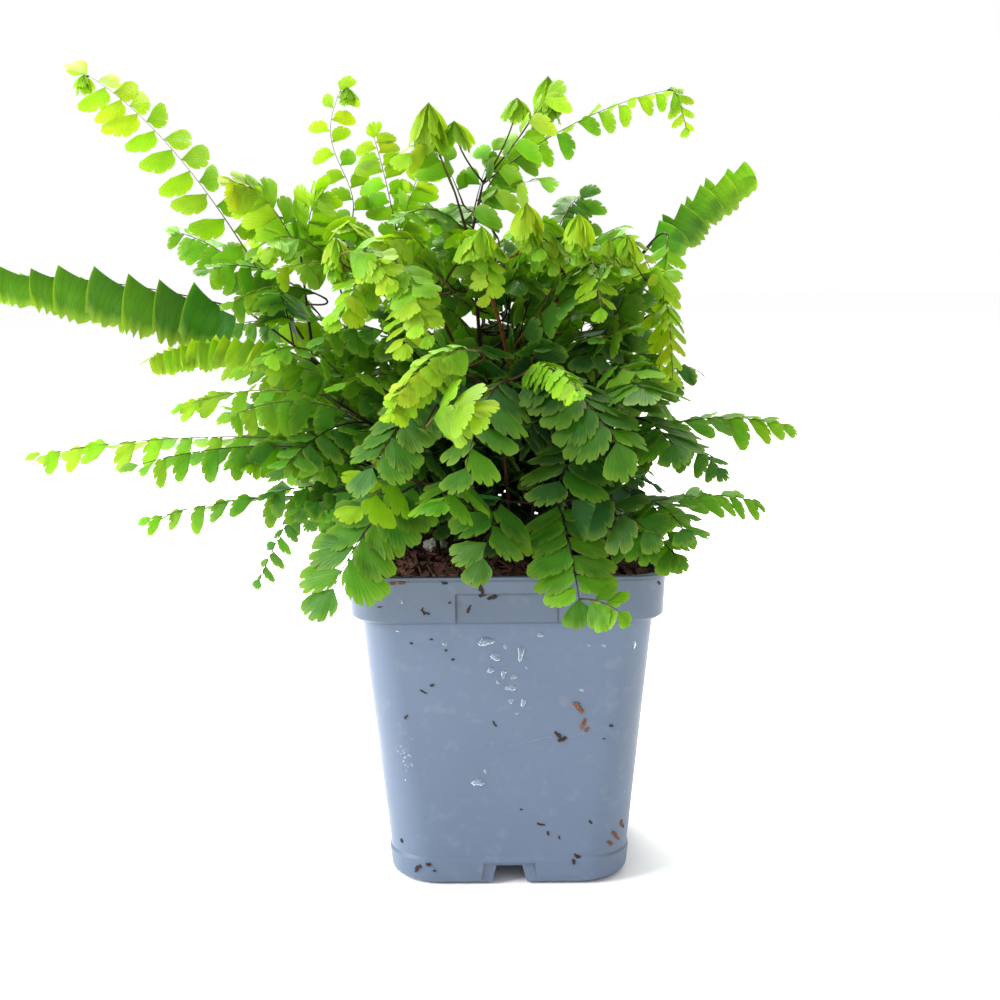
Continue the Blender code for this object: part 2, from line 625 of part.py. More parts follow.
def leaflet_tree(leaflet, ends, margin, trim):
    """A bounding ball and search tree of a leaflet with a margin round it, less a share of it at the rib."""
    first, last = leaflet.points[0], leaflet.points[-1]
    ring = [ends[0].lerp(first, trim), *leaflet.points, ends[1].lerp(last, trim)]
    middle = sum(ring, Vector()) / len(ring)
    scale = CLEAR_SCALE if margin else 1.0
    offset = leaflet.normal * (BLADE_THICK / 2.0 + margin)
    count = len(ring)
    points = [middle + (p - middle) * scale + offset for p in ring]
    points += [middle + (p - middle) * scale - offset for p in ring]
    triangles = []
    for i in range(1, count - 1):
        triangles.append((0, i, i + 1))
        triangles.append((count, count + i + 1, count + i))
    for i in range(count):
        j = (i + 1) % count
        triangles.append((i, j, count + j))
        triangles.append((i, count + j, count + i))
    reach = max((p - middle).length for p in points)
    return middle, reach, BVHTree.FromPolygons(points, triangles)


def is_clear(candidate, others):
    middle, reach, tree = candidate
    for centre, radius, other in others:
        if (centre - middle).length < reach + radius and tree.overlap(other):
            return False
    return True


def leaf_starts(root, pinna):
    """The leaflets' pitch, and the distances along the rib where they start on each side in turn."""
    room = rib_length(root, pinna) - BARE_RIB
    count = max(round(room / min(PITCH * pinna.leaf, WIDEST_PITCH)), 1)
    pitch = room / count
    right = [BARE_RIB + i * pitch for i in range(count)]
    left = [BARE_RIB + (i + 0.5) * pitch for i in range(count - 1)]
    return pitch, {1: right, -1: left}


def grow_leaflets(frond, pinna, others, own):
    """Leaflets of a pinna that are clear of the other fronds and of their own frond's earlier leaflets."""
    root = pinna_root(frond, pinna)
    length = rib_length(root, pinna)
    pitch, starts = leaf_starts(root, pinna)
    grown = {}
    for side, distance in sorted((s, d) for s in starts for d in starts[s]):
        ends = leaflet_ends(root, pinna, distance, side, pitch)
        size = leaf_size(pinna, distance / length)
        for share, bend in WAYS_CLEAR:
            leaflet = leaflet_at(root, pinna, distance, side, pitch, size * share, pinna.droop + bend)
            bare = leaflet_tree(leaflet, ends, 0.0, TRIM)
            if is_clear(leaflet_tree(leaflet, ends, GAP, 0.0), others) and is_clear(bare, own):
                grown[side, distance] = leaflet
                own.append(bare)
                break
    return grown


def pinna_solid(frond, pinna, grown):
    """One thin arched blade: the rib and the leaflets that are cut to it."""
    root = pinna_root(frond, pinna)
    length = rib_length(root, pinna)
    pitch, starts = leaf_starts(root, pinna)
    points, normals, triangles = [], [], []

    def add(point, normal):
        points.append(point)
        normals.append(normal)
        return len(points) - 1

    def edge(side, distance):
        spot = spot_at(root, pinna, distance)
        return distance, add(spot.centre + spot.across * (side * RIB_HALF), spot.normal)

    chains = {}
    for side in (-1, 1):
        ends = [starts[side][-1] + pitch] if starts[side] else []
        chain = [edge(side, distance) for distance in [0.0] + starts[side] + ends]
        for (distance, near), (_, far) in zip(chain, chain[1:]):
            leaflet = grown.get((side, distance))
            if leaflet:
                ring = [near] + [add(p, leaflet.normal) for p in leaflet.points] + [far]
                for i in range(1, len(ring) - 1):
                    corners = (ring[0], ring[i], ring[i + 1])
                    triangles.append(corners if side > 0 else corners[::-1])
        chains[side] = chain

    left, right = chains[-1], chains[1]
    i = j = 0
    while i < len(left) - 1 or j < len(right) - 1:
        if j == len(right) - 1 or (i < len(left) - 1 and left[i + 1][0] < right[j + 1][0]):
            triangles.append((left[i][1], right[j][1], left[i + 1][1]))
            i += 1
        else:
            triangles.append((left[i][1], right[j][1], right[j + 1][1]))
            j += 1

    spot = spot_at(root, pinna, length)
    size = leaf_size(pinna, 1.0) * END_SHARE
    middle = add(spot.centre + spot.along * RIB_HALF, spot.normal)
    ring = [right[-1][1]]
    for x, y in END_LEAFLET:
        ring.append(add(spot.centre + spot.across * (x * size) + spot.along * (y * size), spot.normal))
    ring.append(left[-1][1])
    triangles.append((left[-1][1], right[-1][1], middle))
    for near, far in zip(ring, ring[1:]):
        triangles.append((middle, near, far))
    return thicken("pinna", points, normals, triangles)


def thicken(name, points, normals, triangles):
    """A closed solid with the same triangles on both faces of a blade."""
    half = BLADE_THICK / 2.0
    count = len(points)
    both = [p + n * half for p, n in zip(points, normals)] + [p - n * half for p, n in zip(points, normals)]
    faces = []
    edges = set()
    for a, b, c in triangles:
        faces.append([a, b, c])
        faces.append([c + count, b + count, a + count])
        edges.update([(a, b), (b, c), (c, a)])
    for a, b in sorted(edges):
        if (b, a) not in edges:
            faces.append([b, a, a + count])
            faces.append([b, a + count, b + count])
    return mesh_object(name, both, faces)


def bar_tree(bar):
    """A bounding ball and search tree of a finished object, in millimetres."""
    points = [v.co / MM for v in bar.data.vertices]
    faces = [list(p.vertices) for p in bar.data.polygons]
    middle = sum(points, Vector()) / len(points)
    return middle, max((p - middle).length for p in points), BVHTree.FromPolygons(points, faces)


def make_fronds(fixed):
    """Stems and ribs come first, then the leaflets that are clear of them, then each frond in one piece."""
    skeletons = {}
    for frond in FRONDS:
        ribs = [pinna_solid(frond, pinna, {}) for pinna in frond.pinnae]
        bars = stems(frond)
        skeletons[frond.name] = [bar_tree(bar) for bar in bars + ribs]
        for rib in ribs + bars:
            bpy.data.objects.remove(rib, do_unlink=True)
    fixed_trees = [bar_tree(thing) for thing in fixed]
    leaves = {frond.name: [] for frond in FRONDS}
    fronds = []
    for frond in FRONDS:
        others = list(fixed_trees)
        for name in leaves:
            if name != frond.name:
                others += skeletons[name] + leaves[name]
        pinnae = []
        for pinna in frond.pinnae:
            grown = grow_leaflets(frond, pinna, others, leaves[frond.name])
            pinnae.append(pinna_solid(frond, pinna, grown))
        stipe, *arms = stems(frond)
        stipe.name = frond.name
        stipe.data.materials.append(material(frond.name, frond.colour, 0.5))
        combine(stipe, arms + pinnae, "UNION", "MANIFOLD")
        fronds.append(stipe)
    return fronds


def main():
    clear_scene()
    pot = make_pot()
    soil = make_soil()
    stone = make_stone(soil)
    make_fronds([pot, soil, stone])


main()
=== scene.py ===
"""Looks of the potted imbricate northern maidenhair fern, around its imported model.

Lengths in the tables are millimetres and MM turns them into metres. +Z is up and the pot's front faces -Y.
"""
import math
import random
from collections import namedtuple

import bmesh
import bpy
import numpy as np
from mathutils import Matrix, Vector, noise


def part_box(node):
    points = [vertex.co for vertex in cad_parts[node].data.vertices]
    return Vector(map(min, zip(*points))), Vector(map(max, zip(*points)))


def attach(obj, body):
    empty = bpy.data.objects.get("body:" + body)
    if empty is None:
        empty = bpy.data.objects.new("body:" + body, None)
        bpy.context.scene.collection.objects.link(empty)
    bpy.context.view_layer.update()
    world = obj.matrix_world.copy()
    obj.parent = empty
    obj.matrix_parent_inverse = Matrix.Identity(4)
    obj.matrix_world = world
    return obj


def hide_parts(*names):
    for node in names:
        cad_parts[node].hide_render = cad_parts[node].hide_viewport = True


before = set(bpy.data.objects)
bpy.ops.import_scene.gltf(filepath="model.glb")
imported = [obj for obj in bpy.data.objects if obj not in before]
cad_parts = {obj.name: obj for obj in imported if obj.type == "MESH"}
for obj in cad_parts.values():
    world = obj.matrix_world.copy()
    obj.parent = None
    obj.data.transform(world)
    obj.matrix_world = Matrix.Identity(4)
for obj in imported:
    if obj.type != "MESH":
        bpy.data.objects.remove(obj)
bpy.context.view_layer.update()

MM = 0.001
UP = Vector((0.0, 0.0, 1.0))
RIGHT = Vector((1.0, 0.0, 0.0))

# Pot
POT_HEIGHT = 95.0
POT_WALL = 1.3
LIP_HALF = 45.0
LIP_HEIGHT = 0.9
BAND_TOP_HALF = 44.5
BAND_FOOT_HALF = 44.0
BAND_FOOT_Z = 81.3
BAND_CHAMFER = 1.2
BODY_TOP_HALF = 41.3
BODY_FOOT_HALF = 34.3
FOOT_BAND_HEIGHT = 8.4
FOOT_BAND_STEP = 0.5
FOOT_FILLET = 3.0
TOP_CORNER = 9.0
FOOT_CORNER = 13.5
FLOOR_THICK = 1.6
INNER_FILLET = 2.0
CORNER_STEPS = 14
PAST = 2.0
SOFT_EDGE = 0.25
SHARP_FROM = 32.0

# Label recess in the rim band, front and back
LABEL_WIDTH = 28.7
LABEL_TOP_Z = 90.1
LABEL_DEPTH = 0.9
LABEL_FLARE = 1.6

# Drain notch in the middle of each side
NOTCH_TOP_WIDTH = 7.5
NOTCH_FOOT_WIDTH = 10.7
NOTCH_HEIGHT = 6.0
NOTCH_REACH = 16.0
NOTCH_CORNER = 0.9
FRAME_TOP_WIDTH = 15.0
FRAME_FOOT_WIDTH = 16.5
FRAME_HEIGHT = 7.2
FRAME_DEPTH = 0.5
DRAIN_WIDTH = 4.0
DRAIN_LENGTH = 7.0

# Soil
SOIL_LEVEL = 89.5
HOLE_DEPTH = 8.0
GAP = 0.3
CHIP_COUNT = 1500
CHIP_SIZE = ((2.0, 7.5), (1.2, 3.2), (0.8, 2.0))
FIBRE_COUNT = 260
FIBRE_SIZE = ((5.0, 12.0), (0.3, 0.6), (0.3, 0.6))
LITTER_INSET = 3.5
LITTER_DEPTH = (-0.4, 1.8)
LITTER_CLEARANCE = 0.6

# Marks on the pot's front: drops as (x, height, width, tall), a spray of fine drops as its middle and reach,
# crumbs and bark bits as (x, height, length, wide, turn), and the way of a fine scratch
DROPS = [(-6.0, 75.7, 4.8, 2.5), (-3.4, 71.2, 3.2, 2.2), (3.7, 72.4, 2.2, 4.2), (-0.6, 74.1, 1.2, 1.3),
         (-4.7, 67.2, 2.3, 1.8), (-1.2, 66.0, 1.5, 2.6), (1.8, 65.0, 1.9, 1.4), (-2.8, 63.5, 1.2, 1.2),
         (0.9, 61.8, 3.0, 2.1), (0.9, 57.7, 1.5, 1.4), (4.3, 57.4, 1.6, 2.4), (2.5, 54.0, 0.9, 0.9),
         (9.1, 77.5, 1.7, 1.3), (-17.5, 75.1, 1.6, 1.2), (35.5, 74.2, 1.2, 2.6), (5.5, 67.8, 0.8, 1.0),
         (22.8, 74.5, 1.1, 1.2), (27.0, 74.3, 1.1, 1.3), (20.9, 61.0, 1.1, 1.4), (-30.6, 79.0, 0.9, 0.9),
         (-8.7, 32.8, 3.3, 2.5), (-6.5, 36.2, 1.0, 1.9), (-8.5, 92.9, 0.9, 0.9), (-29.0, 88.2, 0.9, 1.1)]
SPRAY = (-29.8, 41.0, 2.4, 6.0)
SPRAY_COUNT = 30
CRUMBS = [(-7.2, 92.0, 3.2, 1.1, 70), (-6.2, 90.0, 3.6, 1.4, -35), (-4.2, 89.0, 2.6, 1.2, -20),
          (-17.2, 93.3, 1.8, 0.7, 5), (-10.4, 93.2, 1.2, 0.7, 0), (-37.5, 93.2, 1.4, 0.9, 10),
          (-34.3, 91.0, 1.1, 0.7, 30), (-35.2, 86.6, 1.4, 0.3, 0), (-23.2, 85.4, 2.3, 0.6, 70),
          (-22.2, 84.6, 1.3, 0.6, 20), (-15.8, 87.7, 0.9, 0.5, 0), (-10.6, 85.6, 2.2, 0.8, -60),
          (42.0, 92.2, 1.3, 0.7, 40), (-21.3, 76.3, 0.9, 0.5, 0), (-26.9, 75.2, 0.8, 0.6, 0),
          (-17.2, 73.0, 0.8, 0.6, 0), (-15.4, 70.3, 0.9, 0.6, 0), (-21.4, 62.6, 1.1, 0.8, 0),
          (-23.8, 60.7, 2.4, 0.5, 25), (-29.0, 53.0, 1.5, 0.6, -50), (-3.9, 50.7, 1.8, 0.6, 60),
          (14.0, 47.4, 2.2, 1.1, 50), (15.4, 45.8, 2.4, 1.2, -25), (29.3, 50.0, 1.2, 0.8, 20),
          (27.2, 46.0, 0.8, 0.5, 0), (9.2, 19.3, 2.3, 0.6, 15), (11.3, 16.5, 1.3, 0.8, 80),
          (23.6, 20.0, 1.2, 0.9, 45), (3.6, 24.0, 0.8, 0.5, 0), (20.0, 8.8, 2.8, 1.1, 40),
          (18.7, 7.6, 1.8, 0.9, 70), (-31.4, 12.9, 1.3, 0.8, 80), (-26.7, 5.4, 2.8, 1.2, -40),
          (-23.6, 6.8, 1.4, 1.0, 0), (-21.8, 4.9, 0.9, 0.6, 0), (14.5, 15.0, 1.0, 0.6, 60)]
BARK_BITS = [(20.2, 55.2, 2.6, 1.3, 45), (19.4, 56.6, 1.9, 1.0, 0), (21.4, 50.6, 3.2, 1.1, -60),
             (22.3, 48.8, 1.6, 0.8, -40), (31.0, 14.6, 3.8, 1.1, 50), (33.0, 17.2, 3.0, 1.0, 50),
             (29.4, 12.4, 2.0, 1.0, 30), (-29.5, 93.6, 2.8, 1.0, 5), (-31.6, 93.2, 1.6, 0.8, 10)]
SCRATCH = [(-12.0, 46.0), (-7.8, 43.9), (2.0, 44.3), (11.5, 46.6), (17.0, 46.2), (24.0, 48.6), (33.0, 52.0)]
DROP_SPRINKLE = 14
CRUMB_SPRINKLE = 12
LIP_CRUMBS = 9
DROP_SIDES = 14
DROP_RINGS = 5
DROP_HEIGHT = 0.22
DROP_HANG = 1.15
SUNK = 0.05
CRUMB_SHIFTS = (-0.28, 0.0, 0.26)
SCRATCH_RADIUS = 0.12
SCRATCH_STEPS = 4

# Painted shade lines under the pot's ledges and round the label recess
SHADE_LINE_IN = 0.25
SHADE_LINE_WIDTH = 0.55
SHADE_EDGE_SHARP = 0.1

# Stems and leaves
STIPE_RADIUS = 0.72
ARM_RADIUS = 0.48
RIB_RADIUS = 0.30
RIB_TIP_RADIUS = 0.14
STALK_LENGTH = 0.6
STEM_SIDES = 7
STIPE_RISE = 0.6
STIPE_LEAN = 0.12
STRAIGHT_FOOT = 3.0
STIPE_RINGS = 14
RIB_STEPS = 12
RIB_RINGS = 16
BARE_RIB = 3.0
TWIG_BEND = 0.4
TWIG_REACH = 9.0
TWIG_EASE = 0.7
TWIG_RINGS = 9
ARM_STEPS = 4
SHINGLE = 11.0
FAN_LOW = 12.0
FAN_HIGH = 88.0
FAN_BELLY = 0.13
FAN_SAMPLES = 240
LOBES_FROM = 4.0
ROUND_FROM = 30.0
RIM_CLEARANCE = 0.6
SHAPES_EACH = 14
END_SHAPES = 6
FAN_RINGS = 3
FILL_RINGS = 2
SHADE_RISE = 0.26

# How a leaflet that would hit the pot is tried again: lifted by degrees, and smaller
EASES = [(0.0, 1.0), (-18.0, 1.0), (-36.0, 0.95), (-60.0, 0.9), (-85.0, 0.8)]

# The rim of one lobe: a share of its width, then how deep the rim lies there as shares of the cut before it,
# of a dent in its middle and of the cut after it
LOBE_RIM = [(0.0, 1.0, 0.0, 0.0), (0.09, 0.30, 0.0, 0.0), (0.28, 0.0, 0.0, 0.0), (0.50, 0.0, 0.30, 0.0),
            (0.70, 0.0, 0.0, 0.0), (0.90, 0.0, 0.0, 0.35)]

# A style of leaflet, as shares of its length but for the outline's power, which is higher for a squarer end,
# the numbers of lobes and the degrees that it strays. Sweep is how far it leans to the tip of the rib, swell
# and taper are how its size runs along the rib, rib is how thick that is, spike is how high the corner of a
# square leaflet stands over it, over is how many millimetres its foot lies in front of the rib, and round is
# how far the corner beside the rib is rounded off.
Style = namedtuple("Style", "width power cut lobes pitch bend sweep taper stray swell rib spike over round",
                   defaults=(0.25, 1.0, 0.0, -0.35, 0.0))
STYLES = {
    "oval": Style(0.56, 2.2, 0.16, (3, 4, 5), 0.62, 0.18, 0.16, 0.60, 14, rib=0.8, round=0.25),
    "open": Style(0.58, 2.0, 0.12, (3, 4), 0.92, 0.24, 0.15, 0.35, 15, rib=0.45, over=0.20, round=0.50),
    "pod": Style(0.54, 2.0, 0.12, (3, 4), 0.70, 0.24, 0.15, 0.35, 14, rib=0.45, over=0.20, round=0.50),
    "small": Style(0.60, 2.1, 0.14, (3, 4), 0.96, 0.22, 0.20, 0.45, 22, rib=0.55, over=0.20, round=0.45),
    "brick": Style(0.50, 2.4, 0.12, (3, 4), 0.54, 0.20, 0.12, 0.45, 12, rib=0.6, over=0.30, round=0.25),
    "lens": Style(0.50, 2.0, 0.14, (3, 4), 0.60, 0.20, 0.70, 0.58, 12, rib=0.7, round=0.45),
    "sail": Style(0.70, 3.0, 0.24, (3, 4), 0.62, 0.24, 0.00, 0.40, 6, -0.30, rib=0.6, spike=0.22, over=0.35),
    "saw": Style(0.84, 3.0, 0.18, (3, 4), 0.70, 0.24, 0.15, 0.40, 8, 0.05, rib=0.5, spike=0.20, over=0.35),
    "comb": Style(0.62, 3.0, 0.20, (3, 4), 0.44, 0.24, 0.30, 0.60, 10, rib=0.5, spike=0.07),
    "sway": Style(0.48, 2.2, 0.18, (3, 4), 0.84, 0.20, 0.70, 0.50, 20, rib=0.8, round=0.40),
    "broad": Style(0.80, 2.6, 0.20, (3, 4, 5), 0.76, 0.16, 0.22, 0.42, 10, rib=0.9, round=0.40),
    "feather": Style(0.80, 2.6, 0.18, (4, 5), 0.45, 0.18, 0.12, 0.18, 7, rib=1.0, over=-0.45, round=0.60),
    "ladder": Style(0.54, 2.8, 0.15, (4, 5), 0.43, 0.14, 0.12, 0.45, 6, rib=0.9, round=0.30),
    "dome": Style(0.90, 2.2, 0.14, (4, 5), 0.40, 0.30, 0.10, 0.45, 14, rib=0.6, over=0.40),
    "scale": Style(0.82, 2.3, 0.16, (4, 5), 0.50, 0.26, 0.20, 0.50, 17, rib=0.6, over=0.30, round=0.20),
    "fill": Style(0.66, 2.3, 0.22, (3, 4, 5), 0.80, 0.24, 0.18, 0.50, 24, rib=0.8, round=0.20),
}
FIRST_SHARE = 0.9
END_SHARE = 0.85
END_GAP = 0.2
REAR_TOP = 0.16
SPIKE_EVEN = 0.10
SAIL_COLUMNS = 9
SAIL_ROWS = 6
SAIL_REACH = 1.12

Pinna = namedtuple("Pinna", "arm at tip lift leaf face droop shade kind lobes bow",
                   defaults=("oval", 1, 0.0))
Frond = namedtuple("Frond", "name foot fork arms pinnae stem")
Extra = namedtuple("Extra", "frond root pinna joint", defaults=(None,))
Cluster = namedtuple("Cluster", "frond top tiers leaf spread shade joint", defaults=(None,))

# The crown's outline from the front, on the plane through the pot's middle, with the windows where the
# stems show, each by its middle and half sizes
CROWN = [(-34, 94), (-50, 99), (-66, 106), (-76, 115), (-82, 127), (-82, 139), (-80, 151), (-76, 161),
         (-74, 169), (-80, 180), (-78, 190), (-70, 197), (-60, 197), (-52, 189), (-44, 190), (-34, 200),
         (-22, 198), (-10, 194), (4, 190), (16, 186), (26, 183), (38, 181), (47, 177), (46, 166),
         (44, 147), (44, 135), (46, 126), (43, 115), (45, 104), (44, 96)]
WINDOWS = [((-11, 167), (5, 10)), ((3, 160), (5, 4)), ((-48, 165), (10, 8)), ((-29, 168), (6, 6)),
           ((-40, 187), (5, 5)), ((31, 172), (5, 5)), ((43, 172), (4, 6)), ((25, 167), (3, 3))]

# Pinnae deeper in the crown, drawn by rule: how many, where their tips may be, how long they are, how close
# two tips come, and where they are thinner
FILL_COUNT = 260
FILL_WIDE = (-95, 55)
FILL_DEEP = (-34, 58)
FILL_HIGH = (97, 212)
FILL_REACH = (24, 40)
FILL_SHORTEST = 15
FILL_THIN_LEFT = -48
FILL_THIN_TOP = 182
FILL_SPACING = 10.0
FILL_SPARSE = 14.0
FILL_LEAF = 11.5
FILL_LEAF_HIGH = 8.6
FILL_FLATTER = 18.0
FILL_HEART = (0.0, 8.0)
FILL_LOWEST_ROOT = 106
